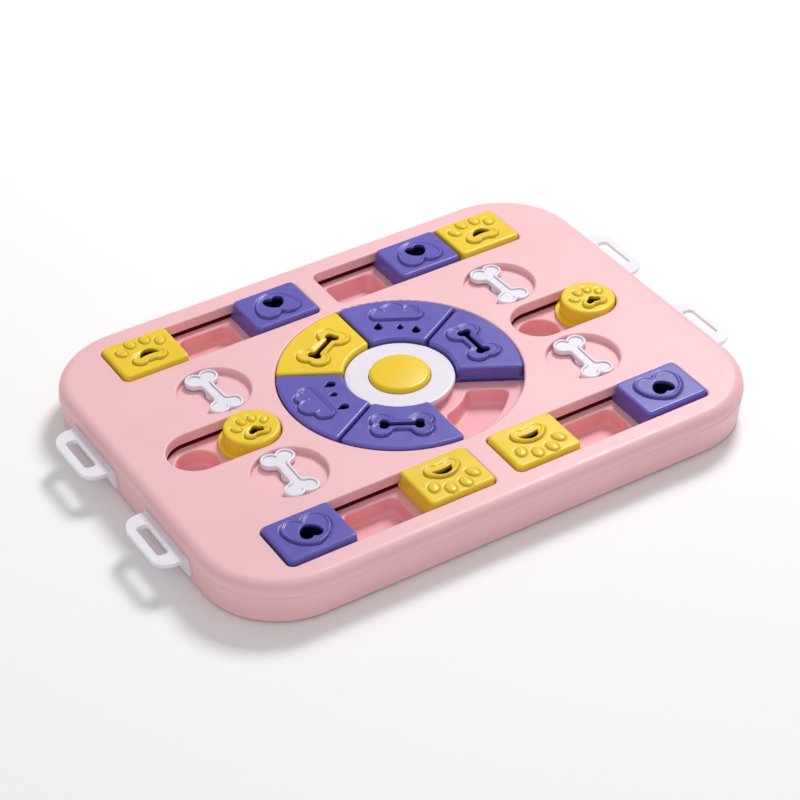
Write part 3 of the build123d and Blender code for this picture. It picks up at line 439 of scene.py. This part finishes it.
def cut_sheet(distance, half_x, half_y, step, centre=(0, 0)):
    """Grid points and cells inside an outline, with the points next to it slid onto it."""
    nx, ny = int(2 * half_x / step) + 2, int(2 * half_y / step) + 2
    x, y = np.meshgrid(np.linspace(-half_x, half_x, nx) + centre[0],
                       np.linspace(-half_y, half_y, ny) + centre[1], indexing="ij")
    x, y = x.ravel(), y.ravel()
    d = distance(x, y)
    edge = np.abs(d) < 0.5 * step
    for _ in range(2):
        gx, gy = slope(distance, x[edge], y[edge])
        reach = distance(x[edge], y[edge])
        x[edge] -= reach * gx
        y[edge] -= reach * gy
    index = np.arange(nx * ny).reshape(nx, ny)
    cells = np.stack([index[:-1, :-1], index[1:, :-1], index[1:, 1:], index[:-1, 1:]], -1).reshape(-1, 4)
    held = ((d > 0) | edge)[cells]
    lone = [(~held[:, k]) & (held.sum(1) == 3) for k in range(4)]
    triangles = np.vstack([np.delete(cells[lone[k]], k, axis=1) for k in range(4)])
    quads = without_slivers(distance, x, y, cells[held.all(1)], edge, step)
    triangles = without_slivers(distance, x, y, triangles, edge, step)
    used, place = np.unique(np.concatenate([quads.ravel(), triangles.ravel()]), return_inverse=True)
    return x[used], y[used], place[:quads.size].reshape(-1, 4), place[quads.size:].reshape(-1, 3)


def rim_edges(quads, triangles, count):
    """Edges that belong to one cell only, in that cell's direction."""
    a = np.concatenate([quads.ravel(), triangles.ravel()])
    b = np.concatenate([np.roll(quads, -1, axis=1).ravel(), np.roll(triangles, -1, axis=1).ravel()])
    lone = ~np.isin(a * count + b, b * count + a)
    return a[lone], b[lone]


sheet = cut_sheet(lambda x, y: disc(x, y, 0, 0, 5.0), 5.0, 5.0, 0.5)
print("a 10 mm disc at a step of 0.5 mm:", len(sheet[0]), "points,", len(sheet[2]), "quads")

# %% [markdown]
# ## Profiles of a raised ornament
#
# A moulded ornament doesn't rise like a step. A shallow groove runs round it, its side is steep but
# soft, and its crown eases off inside the line. The groove and the crest are what a lamp picks out, so
# they matter more than the height. A bevel could round an edge, but it makes no groove. Here the
# profile is a sum of a few smooth terms in the inside distance, and the same curve serves hearts, paws,
# bones and clouds.

# %% Rise and shade of an ornament
def swell(d, foot, shoulder):
    """Soft step from 0 at a distance of -foot to 1 at +shoulder: 3t^2 - 2t^3."""
    t = np.clip((d + foot) / (foot + shoulder), 0, 1)
    return t * t * (3 - 2 * t)


def dent(d, middle, width):
    """Bell curve: e to minus the square of the distance from its middle over its width."""
    return np.exp(-((d - middle) / width) ** 2)


def raised(d):
    """Ornament's profile: a steep side, less a crown that eases off inside, less a shallow groove outside."""
    return 1.75 * swell(d, 0.15, 0.60) - 0.50 * swell(d - 0.9, 0.0, 1.3) - 0.42 * dent(d, -0.50, 0.36)


def pillow(d):
    """Profile of a toe: a low dome with a steep foot in a shallow groove."""
    return 1.1 * swell(d, 0.15, 0.8) + 0.4 * swell(d, 0.0, 3.2) - 0.25 * dent(d, -0.45, 0.34)


def stacked(*profiles):
    """Several ornaments on one plane: the highest rise plus the deepest groove."""
    rises = [np.maximum(p, 0) for p in profiles]
    grooves = [np.minimum(p, 0) for p in profiles]
    return np.max(rises, axis=0) + np.min(grooves, axis=0)


def bend_shade(height, x, y, reach=0.3, gain=2.2):
    """Painted shade by curvature: a gain times the sum of the four heights around a point less four times its
    own. That is below zero on a crest, a painted highlight, and above zero in a groove, a painted shade."""
    around = height(x + reach, y) + height(x - reach, y) + height(x, y + reach) + height(x, y - reach)
    return np.clip((around - 4 * height(x, y)) * gain, -0.8, 0.5)


samples = np.array([-0.5, 0.0, 0.6, 3.0])
print("rise at", samples, "mm from the line:", raised(samples).round(2))

# %% [markdown]
# ## From the sheet to a closed body
#
# From the cut edge of a sheet a *skirt* runs on: first a quarter round, then the wall, then the flange,
# each row an offset along the outline's normal. Holes get the same treatment with a skirt of their own:
# straight down through the wall, then wider, as the tiles and wedges are hollow. A flat floor closes
# the piece. A bevel modifier on a box would give soft edges too, but not round a heart-shaped hole in a
# curved top. The quarter rounds get a shade below zero, a painted highlight, and the holes below their
# rims get a shade of one, a painted shade.

# %% Sheet, skirt and floor
# Shade of each quarter-round row: below zero is a painted highlight on the edge.
edge_angles = np.linspace(0, pi / 2, 6)[1:]
edge_shades = (0.0, -0.7, -0.7, -0.7, 0.0)


def relief_body(outline, holes, height, half, skirt, floor_z, step=0.28, centre=(0, 0), edge=1.4, lip=0.5,
                wall=2.2, hollow=4.0):
    """Closed body: cut sheet at its height, quarter rounds of radius edge outside and lip in the holes, skirt
    rows of (offset, level), and a floor. A hole runs straight through the wall, then widens by the hollow."""
    def material(x, y):
        return np.minimum(outline(x, y) - edge, -holes(x, y) - lip)

    x, y, quads, triangles = cut_sheet(material, half[0], half[1], step, centre)
    z = height(x, y)
    count = len(x)
    a, b = rim_edges(quads, triangles, count)
    rim, where = np.unique(np.concatenate([a, b]), return_inverse=True)
    a_row, b_row = where[:len(a)], where[len(a):]
    gx, gy = slope(material, x[rim], y[rim])
    outer = np.abs(outline(x[rim], y[rim]) - edge) < np.abs(-holes(x[rim], y[rim]) - lip)

    radius = np.where(outer, edge, lip)
    rows = [(radius * sin(angle), z[rim] - radius * (1 - cos(angle)), np.full(len(rim), shade))
            for angle, shade in zip(edge_angles, edge_shades)]
    under = z[rim] - lip - wall
    bore = [(lip, under), (-hollow, under)] + [(-hollow, floor_z)] * len(skirt)
    for (reach, level), (inset, depth) in zip(skirt, bore):
        # Rows down a hole get a shade of one, painted shade in the bore. The outer skirt gets none.
        rows.append((np.where(outer, edge + reach, inset), np.where(outer, level, depth),
                     np.where(outer, 0.0, 1.0)))

    # The sheet's shade is a painted highlight on crests and painted shade in grooves.
    points, faces, shades = [np.stack([x, y, z], 1)], [quads, triangles], [bend_shade(height, x, y)]
    above_a, above_b = a, b
    for k, (offset, level, shade) in enumerate(rows):
        start = count + k * len(rim)
        points.append(np.stack([x[rim] - gx * offset, y[rim] - gy * offset, level], 1))
        faces.append(np.stack([above_b, above_a, start + a_row, start + b_row], 1))
        shades.append(shade)
        above_a, above_b = start + a_row, start + b_row

    last = count + (len(rows) - 1) * len(rim)
    floor = np.full(count, -1)
    floor[rim] = last + np.arange(len(rim))
    inner = np.flatnonzero(floor < 0)
    floor[inner] = last + len(rim) + np.arange(len(inner))
    points.append(np.stack([x[inner], y[inner], np.full(len(inner), floor_z)], 1))
    faces += [floor[quads][:, ::-1], floor[triangles][:, ::-1]]
    shades.append(np.zeros(len(inner)))
    return np.vstack(points), faces, np.concatenate(shades)


def plate(outline, window, half, low, high, step=1.0, centre=(0, 0)):
    """Flat plate with a window in it, for the flange round a hollow piece."""
    def level(x, y):
        return np.full(x.shape, high)
    return relief_body(outline, window, level, half, [(0.0, low)], low, step, centre, edge=0.3, lip=0.0,
                       wall=high - low)


def wall_rows(top, foot, lean_in, shares):
    """Skirt rows down a wall: the level is the top less a share of the wall's height, the offset is the same
    share of what the wall leans."""
    return [(lean_in * share, top - (top - foot) * share) for share in shares]


print("a quarter round has", len(edge_angles), "rows")

# %% [markdown]
# ## Turned shapes, and bodies that become objects
#
# A button, a barrel and a screw are turned about an axis. Blender's Spin and Screw tools would do it,
# but they are operators that act on what is selected. A profile of radius and level pairs, carried
# round by whole arrays, is as short and always gives the same points. The second helper joins bodies to
# one mesh in metres, gives it its plastic, hides the imported pieces it replaces and hangs it on an empty
# for the body it rides on.

# %% Turning a profile, and placing a piece
def revolved(profile, count, ripple=None):
    """Radius and level pairs carried round the axis, with a fan of triangles at each end, on the axis. The
    ripple adds to the radius as a function of the angle and the level, for a thread."""
    r, z = np.array(profile[1:-1], float).T
    t = np.linspace(0, 2 * pi, count, endpoint=False)
    reach = r[:, None] + (ripple(t[None, :], z[:, None]) if ripple else np.zeros((1, count)))
    ring = np.stack([reach * np.cos(t), reach * np.sin(t), np.broadcast_to(z[:, None], reach.shape)], -1)
    i, j = np.meshgrid(np.arange(len(r) - 1), np.arange(count), indexing="ij")
    k = (j + 1) % count
    quads = np.stack([i * count + j, (i + 1) * count + j, (i + 1) * count + k, i * count + k], -1)
    top, low, last = len(r) * count, len(r) * count + 1, (len(r) - 1) * count
    j = np.arange(count)
    k = (j + 1) % count
    fans = np.vstack([np.stack([np.full(count, top), j, k], 1),
                      np.stack([np.full(count, low), last + k, last + j], 1)])
    ends = [(0, 0, profile[0][1]), (0, 0, profile[-1][1])]
    return np.vstack([ring.reshape(-1, 3), ends]), [quads.reshape(-1, 4), fans]


def piece(name, parts, replaced, slot, body, turn=0.0, shift=(0, 0, 0), crease=38):
    """Bodies in millimetres become one object in metres, turned about Z and shifted into place. Each part is
    points, faces and, where it has one, a shade of painted highlight and painted shade."""
    points, faces, shades, start = [], [], [], 0
    for part_points, part_faces, *part_shade in parts:
        points.append(part_points)
        shades.append(part_shade[0] if part_shade else np.zeros(len(part_points)))
        faces += [face + start for face in part_faces if len(face)]
        start += len(part_points)
    c, s = cos(radians(turn)), sin(radians(turn))
    whole = np.vstack(points) @ np.array([[c, s, 0], [-s, c, 0], [0, 0, 1]])
    whole = (whole + np.array(shift)) * mm
    mesh = bpy.data.meshes.new(name)
    mesh.from_pydata(whole.tolist(), [], [f for face in faces for f in face.tolist()])
    # The shade attribute holds painted highlight below zero and painted shade above zero.
    mesh.attributes.new("shade", "FLOAT", "POINT").data.foreach_set("value", np.concatenate(shades))
    mesh.shade_smooth()
    mesh.set_sharp_from_angle(angle=radians(crease))
    mesh.materials.append(finish[slot])
    made = bpy.data.objects.new(name, mesh)
    bpy.context.scene.collection.objects.link(made)
    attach(made, body)
    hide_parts(*replaced)
    return made


cone_points, cone_faces = revolved([(0, 2), (1, 2), (2, 0), (0, 0)], 12)
print("a 12-sided cone:", len(cone_points), "points,", sum(len(f) for f in cone_faces), "faces")

# %% [markdown]
# ## Eight sliding tiles
#
# Each tile is a hollow box on a wide flange that runs under the window's lip, so that it can't be
# lifted out. On top it carries a raised heart with a heart cut through it, or a raised paw with a smile
# cut through its pad. A dog's claw or tongue gets into the hole and pushes the tile along. The sides
# lean in a few degrees, as a mould needs. Sculpting eight tiles by hand would make eight different
# ones. Two bodies are worked out once and placed eight times, turned round in the near row, and their
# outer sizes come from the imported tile.

# %% Sizes that the tiles share with their windows
tile_low, tile_high = box_mm("tile_far_left_heart")
relief = 0.9
tile_top = tile_high[2] - relief
slide_z = tile_low[2]
flange_z = slide_z + flange_thickness
tile_length = tile_high[0] - tile_low[0]
flange_width = tile_high[1] - tile_low[1]
tile_width = flange_width - 2 * flange_reach
tile_lean = (tile_top - flange_z) * tan(radians(4.5))
top_length, top_width = tile_length - 2 * tile_lean, tile_width - 2 * tile_lean
wall_shares = (0.35, 0.68, 1.0)
flange_step = 0.02
print("tile", round(tile_length, 1), "x", round(tile_width, 1), "mm, top at", round(tile_top, 1))

# %% Hearts and paws
big_heart, small_heart = heart_points(27.0, 23.5), heart_points(12.6, 11.2)
heart_hole_off = 1.0
paw_low, smile_low = 4.0, 5.0
toes = ((-12.2, 5.6, 20), (-4.7, 10.6, 6), (4.7, 10.6, -6), (12.2, 5.6, -20))
toe_size = (4.3, 3.0)
tile_corner, flange_corner, window_corner, tile_wall = 2.9, 4.0, 3.0, 3.0


def tile_outline(x, y):
    """Rounded rectangle of the tile's top."""
    return bar(x, y, top_length / 2, top_width / 2, tile_corner)


def heart_height(x, y):
    """Flat top with a raised heart, its tip away from the near side."""
    return tile_top + relief * raised(chain(-x, -y, big_heart))


def heart_hole(x, y):
    """Small upright heart, a little off the middle."""
    return chain(x, y - heart_hole_off, small_heart)


def paw_height(x, y):
    """Flat top with a raised pad and four toes like small pillows. A row of toes is place, place, turn."""
    pad = raised(paw_pad(x, y + paw_low, width=21.0, height=12.0))
    pillows = [pillow(oval(x, y, toe_x, toe_y, *toe_size, turn)) for toe_x, toe_y, turn in toes]
    return tile_top + relief * stacked(pad, *pillows)


def paw_hole(x, y):
    """Smile across the pad, its outline moved out by a quarter of a millimetre."""
    return smile(x - 0.6, y + smile_low, length=11.5, height=5.0) + 0.25


half_tile = (top_length / 2, top_width / 2)
tile_skirt = wall_rows(tile_top, flange_z, tile_lean, wall_shares)
tile_skirt += [(tile_lean + flange_step, flange_z), (tile_lean + flange_step, slide_z)]
tile_bodies = {
    "heart": relief_body(tile_outline, heart_hole, heart_height, half_tile, tile_skirt, slide_z),
    "paw": relief_body(tile_outline, paw_hole, paw_height, half_tile, tile_skirt, slide_z),
}
for kind, (points, faces, shade) in tile_bodies.items():
    print(kind, "tile:", len(points), "points,", sum(len(f) for f in faces), "cells")

# %% Flange of a tile
def flange_outline(x, y):
    """Rounded rectangle of the tile's flange."""
    return bar(x, y, tile_length / 2, flange_width / 2, flange_corner)


def inner_window(x, y):
    """Rounded rectangle inside the tile's walls, where the flange stops."""
    return bar(x, y, tile_length / 2 - tile_wall, tile_width / 2 - tile_wall, window_corner)


tile_flange = plate(flange_outline, inner_window, (tile_length / 2, flange_width / 2), slide_z, flange_z)
print("flange:", len(tile_flange[0]), "points")

# %% Place the eight tiles
for name in sorted(n for n in nodes if n.startswith("tile_")):
    kind = "heart" if name.endswith("heart") else "paw"
    middle = middle_mm(name)
    turn = 0 if middle.y > 0 else 180
    piece(name + "_soft", [tile_bodies[kind], tile_flange], [name], slot_of[name], name, turn,
          (middle.x, middle.y, 0))
print("tiles placed")

# %% [markdown]
# ## Two round sliders
#
# The same idea on a disc: a paw with a bean-shaped hole in its pad, on a round flange that runs under
# the lip of the stadium-shaped window. Shrinking a tile's paw to fit would make its edges finer than
# the mould can, so the smaller paw has sizes of its own and keeps the same profile.

# %% Round sliders
slider_low, slider_high = box_mm("round_slider_left")
slider_flange = (slider_high[0] - slider_low[0]) / 2
slider_radius = slider_flange - flange_reach
slider_lean = (tile_top - flange_z) * tan(radians(4.0))
slider_top = slider_radius - slider_lean
pad_low = 5.2
bean_half, bean_end = 4.5, 2.16
round_toes = ((-8.6, 1.6, 32), (-3.2, 6.2, 10), (3.2, 6.2, -10), (8.6, 1.6, -32))
round_toe_size = (3.3, 2.3)


def slider_outline(x, y):
    """Disc of the slider's top."""
    return disc(x, y, 0, 0, slider_top)


def slider_height(x, y):
    """Flat top with a raised pad and four toes, as on the tiles but smaller."""
    pad = raised(paw_pad(x, y + pad_low, width=15.0, height=9.0))
    pillows = [pillow(oval(x, y, toe_x, toe_y, *round_toe_size, turn)) for toe_x, toe_y, turn in round_toes]
    return tile_top + relief * stacked(pad, *pillows)


def bean_hole(x, y):
    """Two round ends merged with an arched middle."""
    ends = disc(np.abs(x), y + pad_low, bean_half - bean_end, -0.6, bean_end)
    return merged(ends, disc(x, y + pad_low, 0, 0.84, 2.4), 0.5)


slider_skirt = wall_rows(tile_top, flange_z, slider_lean, wall_shares)
slider_skirt += [(slider_lean + flange_step, slide_z)]
slider_body = relief_body(slider_outline, bean_hole, slider_height, (slider_top, slider_top), slider_skirt,
                          slide_z, step=0.3)
slider_plate = plate(lambda x, y: disc(x, y, 0, 0, slider_flange),
                     lambda x, y: disc(x, y, 0, 0, slider_radius - tile_wall),
                     (slider_flange, slider_flange), slide_z, flange_z)
for name in ("round_slider_left", "round_slider_right"):
    middle = middle_mm(name)
    piece(name + "_soft", [slider_body, slider_plate], [name], "tile_yellow", name, 0,
          (middle.x, middle.y, 0))
print("sliders placed,", round(2 * slider_radius, 1), "mm across")

# %% [markdown]
# ## Five wedges in the well
#
# The wedges fill five of the six places of a ring, so the open place travels as the ring is turned. A
# wedge is the part of a ring between two straight sides that run parallel to the radii, with rounded
# corners. It could be cut from a turned ring, which would leave sharp ends to round off. Its inside
# distance combines four distances instead, to the two arcs and to the two sides, and the corners come
# out round. There are two kinds of top: a raised bone round a bone-shaped slot, and a raised cloud with
# three drops cut through below it.

# %% Wedge outline and tops
wedge_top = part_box("wedge_bone_right")[1].z * 1000 - relief
hub_radius = (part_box("hub_disc")[1].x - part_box("hub_disc")[0].x) * 500
ring_gap, side_gap = 0.7, 0.9
wedge_inner = hub_radius + ring_gap
wedge_outer = well_radius - ring_gap
wedge_middle = (wedge_inner + wedge_outer) / 2
bone_line = wedge_middle - 1.3
cloud_line, cloud_side = wedge_middle + 6.7, 0.5
drops = ((-8.2, 11.2, 1.0), (-9.0, -1.4, 0.74), (-12.2, -10.5, 1.0))
drop_radius, drop_tip = 2.55, 5.0
wedge_corner, foot_corner = 2.2, 1.0
foot_inner, foot_outer = 30.2, 72.4
window_inner, window_outer, window_gap = 35.0, 66.5, 4.0


def sector(x, y, inner, outer, gap, corner):
    """Distances to two arcs and two sides, combined so that the corners come out round."""
    rho = np.hypot(x, y)
    sides = np.stack([outer - rho, rho - inner, x * sin(pi / 6) - y * cos(pi / 6) - gap,
                      x * sin(pi / 6) + y * cos(pi / 6) - gap]) - corner
    return corner - np.sqrt((np.minimum(sides, 0) ** 2).sum(0)) + np.maximum(sides.min(0), 0)


def wedge_outline(x, y):
    """Wedge between the disc and the rim of the well."""
    return sector(x, y, wedge_inner, wedge_outer, side_gap, wedge_corner)


def bone_top(x, y):
    """Raised bone, lying across the wedge."""
    d = bone(y, x - bone_line, length=35.0, shaft=9.0, lobe=6.2, spread=3.8, neck=2.5)
    return wedge_top + relief * raised(d)


def bone_slot(x, y):
    """Bone-shaped slot along the raised bone."""
    return bone(y, x - bone_line, length=25.0, shaft=3.2, lobe=2.6, spread=1.6, neck=0.8)


def cloud_top(x, y):
    """Raised cloud on the outer half."""
    return wedge_top + relief * raised(cloud(x - cloud_line, y - cloud_side, length=31.0, depth=16.5))


def drop_holes(x, y):
    """Three drops that point away from the middle of the board. A row of drops is radius, side, size."""
    found = [chain(x - wedge_middle - radial, y - side, drop_points(drop_radius * size, drop_tip * size))
             for radial, side, size in drops]
    return np.max(found, axis=0)


print("wedge from", round(wedge_inner, 1), "to", round(wedge_outer, 1), "mm from the middle")

# %% Place the five wedges
wedge_half, foot_half, wedge_centre = (21.5, 35.5), (24, 38), (50.0, 0)
wedge_skirt = wall_rows(wedge_top, flange_z, 0.0, (0.4, 0.7, 1.0)) + [(0.0, slide_z)]
wedge_bodies = {
    "bone": relief_body(wedge_outline, bone_slot, bone_top, wedge_half, wedge_skirt, slide_z,
                        centre=wedge_centre),
    "cloud": relief_body(wedge_outline, drop_holes, cloud_top, wedge_half, wedge_skirt, slide_z,
                         centre=wedge_centre, lip=0.35, hollow=1.5),
}
wedge_plate = plate(lambda x, y: sector(x, y, foot_inner, foot_outer, side_gap, foot_corner),
                    lambda x, y: sector(x, y, window_inner, window_outer, window_gap, foot_corner),
                    foot_half, slide_z, flange_z, centre=wedge_centre)
wedge_turns = {"wedge_bone_right": 0, "wedge_cloud_far": 60, "wedge_bone_yellow": 120,
               "wedge_cloud_left": 180, "wedge_bone_near": 240}
for name, turn in wedge_turns.items():
    kind = "bone" if "bone" in name else "cloud"
    piece(name + "_soft", [wedge_bodies[kind], wedge_plate], [name], slot_of[name], name, turn)
print("wedges placed, top at", round(wedge_top, 1))

# %% [markdown]
# ## Four turning bones
#
# Each bone stands in a round dish and turns on a barrel below it. It is a thick little casting: full
# round edges, a rim, and a shallow dish inside the rim that catches the light. A subdivided cage would
# make such a shape too, but its outline would drift off the one the dish leaves room for. The cut sheet
# keeps it exact.

# %% Turning bones
bone_low, bone_high = box_mm("bone_far_left")
knob_thickness, rim_width, dish_depth = 3.2, 1.45, 0.9
knob_top = bone_high[2]
knob_low = knob_top - knob_thickness
barrel_radius, barrel_low, pin_radius = 4.9, 21.3, 3.0
dish_x, dish_y = 95.5, 43.0


def knob_outline(x, y):
    """Outline of the bone, with its length along X."""
    return bone(x, y, length=40.0, shaft=7.2, lobe=5.8, spread=4.3, neck=3.6)


def knob_height(x, y):
    """Rim all round and a dish inside it."""
    return knob_top - dish_depth * swell(knob_outline(x, y) - rim_width, 0.25, 0.35)


knob = relief_body(knob_outline, nowhere, knob_height, (20.2, 10.4),
                   [(0.0, knob_top - 2.0), (0.0, knob_low + 0.4), (-0.4, knob_low)], knob_low,
                   step=0.24, edge=0.7)
barrel = revolved([(0, knob_low + 0.5), (barrel_radius, knob_low + 0.5), (barrel_radius, barrel_low + 0.05),
                   (barrel_radius - 0.2, barrel_low), (pin_radius, barrel_low),
                   (pin_radius, bone_low[2] + 0.3), (pin_radius - 0.3, bone_low[2]), (0, bone_low[2])], 64)
for name in sorted(n for n in nodes if n.startswith("bone_") and "washer" not in n):
    middle = middle_mm(name)
    turn = 92 if middle.y > 0 else 88
    piece(name + "_soft", [knob, barrel], [name], "fitting_white", name, turn,
          (np.sign(middle.x) * dish_x, np.sign(middle.y) * dish_y, 0))
print("turning bones placed, top at", round(knob_top, 1))

# %% [markdown]
# ## The squeaker button
#
# The button is a gently domed cap with a full soft edge and a short wall that dives into the white
# disc. A flange under the disc keeps it in. A flattened sphere has too sharp a rim and too round a top.
# A turned profile gives both their own curve: the dome falls with the square of the radius, and the
# soft edge is a quarter of an ellipse.

# %% Button
button_low, button_high = box_mm("squeak_button")
button_flange, flange_top = 2.2, button_low[2] + 1.6
button_radius = (button_high[0] - button_low[0]) / 2 - button_flange
dome_fall, edge_reach, edge_fall = 0.75, 2.6, 2.0
shoulder = button_radius - edge_reach
dome = [(shoulder * share, button_high[2] - dome_fall * share ** 2) for share in np.linspace(0, 1, 14)]
edge_top = button_high[2] - dome_fall
round_edge = [(shoulder + edge_reach * sin(angle), edge_top - edge_fall * (1 - cos(angle)))
              for angle in np.linspace(0, pi / 2, 12)[1:]]
flange = [(button_radius, flange_top), (button_radius + button_flange, flange_top),
          (button_radius + button_flange, button_low[2]), (0, button_low[2])]
piece("squeak_button_soft", [revolved(dome + round_edge + flange, 128)], ["squeak_button"], "tile_yellow",
      "squeak_button")
print("button", round(2 * button_radius, 1), "mm across, dome at", round(button_high[2], 1))

# %% [markdown]
# ## Housing screws
#
# Eight self-tapping screws hold the shells together from below. Each has a pan head with a cross recess
# and a thread. A thread can be swept along a helix, but its ends then need trimming. Here it is the
# shank's radius that ripples with the angle and the level together, so the body stays closed.

# %% Screws
head_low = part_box("housing_screws")[0].z * 1000
screw_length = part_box("housing_screws")[1].z * 1000 - head_low
head_radius, head_height, shank_radius, tip_radius = 2.7, 1.2, 1.4, 0.5
shank_start, pitch, thread_depth = 1.1, 1.1, 0.3
cross_reach, cross_width, cross_depth = 1.7, 0.35, 0.8
corner_inset, end_inset, side_inset = 23.5, 13.0, 7.6


def cross_face(x, y):
    """Flat head with a cross pressed into it."""
    arms = np.maximum(bar(x, y, cross_reach, cross_width, 0.2), bar(x, y, cross_width, cross_reach, 0.2))
    return -cross_depth * swell(arms, 0.05, 0.3)


def thread(angle, level):
    """Ridge that climbs one pitch a turn, fading in above the head: minus the depth times half of one plus
    the cosine of the angle less the level's share of a turn."""
    ridge = 0.5 + 0.5 * np.cos(angle - 2 * pi * level / pitch)
    return -thread_depth * ridge * np.clip((level - 1.6) / 1.0, 0, 1)


head_points, head_faces, _ = relief_body(lambda x, y: disc(x, y, 0, 0, head_radius), nowhere, cross_face,
                                         (head_radius, head_radius), [(0.0, -head_height)], -head_height,
                                         step=0.12, edge=0.45)
head = (head_points * (1, -1, -1), head_faces)
levels = np.linspace(shank_start, screw_length - 0.8, 60)
shaft = [(0, shank_start)] + [(shank_radius, level) for level in levels]
shank_points, shank_faces = revolved(shaft + [(tip_radius, screw_length), (0, screw_length)], 20, thread)
shank = (shank_points, [face[:, ::-1] for face in shank_faces])
half_x, half_y, panel_top = box_mm("top_panel")[1]
places = [(sx * (half_x - corner_inset), sy * (half_y - corner_inset)) for sx in (1, -1) for sy in (1, -1)]
places += [(side * (half_x - end_inset), 0) for side in (1, -1)]
places += [(0, side * (half_y - side_inset)) for side in (1, -1)]
parts = [(points + (px, py, head_low), faces) for px, py in places for points, faces in (head, shank)]
piece("housing_screws_fine", parts, ["housing_screws"], "screw_steel", "housing", crease=50)
print("screws:", len(places))

# %% [markdown]
# ## The line where the shells meet
#
# Two moulded shells never close without a trace: a hair-fine bead of plastic runs round the side where
# they meet. A dark line in the material would be flat and follow no edge. A curve with a bevel would
# make the bead too, but its corners would need handles. The bead is a tiny round profile carried along
# the board's outline, a rounded rectangle worked out from four corner centres and one angle.

# %% Seam bead
corner_radius, bead, bead_sides = 49.0, 0.16, 8
panel_side = 8.4
seam_z = panel_top - panel_side
turns = np.linspace(0, 2 * pi, 321)[:-1]
path_x = np.sign(np.cos(turns + 1e-6)) * (half_x - corner_radius) + corner_radius * np.cos(turns)
path_y = np.sign(np.sin(turns + 1e-6)) * (half_y - corner_radius) + corner_radius * np.sin(turns)
around = np.linspace(0, 2 * pi, bead_sides + 1)[:-1]
reach = bead * np.cos(around)[None, :]
level = np.broadcast_to(seam_z + bead * np.sin(around), (len(turns), bead_sides))
seam = np.stack([path_x[:, None] + np.cos(turns)[:, None] * reach,
                 path_y[:, None] + np.sin(turns)[:, None] * reach, level], -1).reshape(-1, 3)
i, j = np.meshgrid(np.arange(len(turns)), np.arange(bead_sides), indexing="ij")
here, ahead = i * bead_sides, (i + 1) % len(turns) * bead_sides
j_next = (j + 1) % bead_sides
seam_faces = np.stack([here + j, ahead + j, ahead + j_next, here + j_next], -1).reshape(-1, 4)
piece("seam_bead", [(seam, [seam_faces])], [], "shell_pink", "housing")
print("seam bead at", round(seam_z, 1), "mm")

# %% [markdown]
# ## A plain pale room
#
# The product stands on a pale floor under soft studio light: a bright even sky, a soft box from the far
# right that picks out crests and edges, and a larger, weaker one from the near left that opens the
# shadows. A studio could also be a picture wrapped round the world, but two lamps are easier to move
# and need no file.

# %% Floor, light and world
floor_mesh = bpy.data.meshes.new("floor")
floor_mesh.from_pydata([(-4, -4, 0), (4, -4, 0), (4, 4, 0), (-4, 4, 0)], [], [(0, 1, 2, 3)])
floor = bpy.data.objects.new("floor", floor_mesh)
bpy.context.scene.collection.objects.link(floor)
paper = bpy.data.materials.new("pale_paper")
paper.use_nodes = True
paper.node_tree.nodes["Principled BSDF"].inputs["Base Color"].default_value = (0.97, 0.97, 0.97, 1)
paper.node_tree.nodes["Principled BSDF"].inputs["Roughness"].default_value = 0.9
floor_mesh.materials.append(paper)


def soft_box(name, place, size, power):
    """Square area lamp that looks at the board."""
    lamp = bpy.data.lights.new(name, "AREA")
    lamp.energy = power
    lamp.size = size
    made = bpy.data.objects.new(name, lamp)
    made.location = place
    made.rotation_euler = Vector(place).to_track_quat("Z", "Y").to_euler()
    bpy.context.scene.collection.objects.link(made)


soft_box("key", place=(0.95, 0.65, 1.4), size=0.5, power=21.0)
soft_box("fill", place=(-0.9, -1.1, 1.2), size=1.2, power=4.0)
sky = bpy.data.worlds.new("studio")
sky.use_nodes = True
sky.node_tree.nodes["Background"].inputs["Color"].default_value = (1, 1, 1, 1)
sky.node_tree.nodes["Background"].inputs["Strength"].default_value = 0.46
bpy.context.scene.world = sky
bpy.context.scene.view_settings.view_transform = "Standard"
print("lamps:", [lamp.name for lamp in bpy.data.lights])

# %% [markdown]
# ## The camera
#
# It looks down at about 37 degrees from the near left, with a long lens, so parallel edges stay nearly
# parallel. A camera can be turned by angles alone, but three perpendicular directions are easier to
# check: right, up and back are the columns of its matrix, and the place where it stands is the last
# column.

# %% Camera
azimuth, elevation, roll = radians(-30.675), radians(36.709), radians(-1.545)
distance, look_height = 1.3719, 0.0275
focal_pixels, picture_pixels, sensor = 2438.77, 800, 36
back = np.array([sin(azimuth) * cos(elevation), -cos(azimuth) * cos(elevation), sin(elevation)])
right = np.cross(-back, [0, 0, 1.0])
right /= np.linalg.norm(right)
up = np.cross(right, -back)
right, up = right * cos(roll) + up * sin(roll), -right * sin(roll) + up * cos(roll)
stand = np.array([0, 0, look_height]) + back * distance
lens = bpy.data.cameras.new("camera")
lens.sensor_width = sensor
lens.lens = focal_pixels / picture_pixels * sensor
lens.shift_x, lens.shift_y = 0.0004, -0.0344
camera = bpy.data.objects.new("camera", lens)
matrix = np.eye(4)
matrix[:3] = np.stack([right, up, back, stand], 1)
camera.matrix_world = Matrix(matrix.tolist())
bpy.context.scene.collection.objects.link(camera)
bpy.context.scene.camera = camera
print("camera stands", round(float(np.linalg.norm(stand)), 2), "m away")
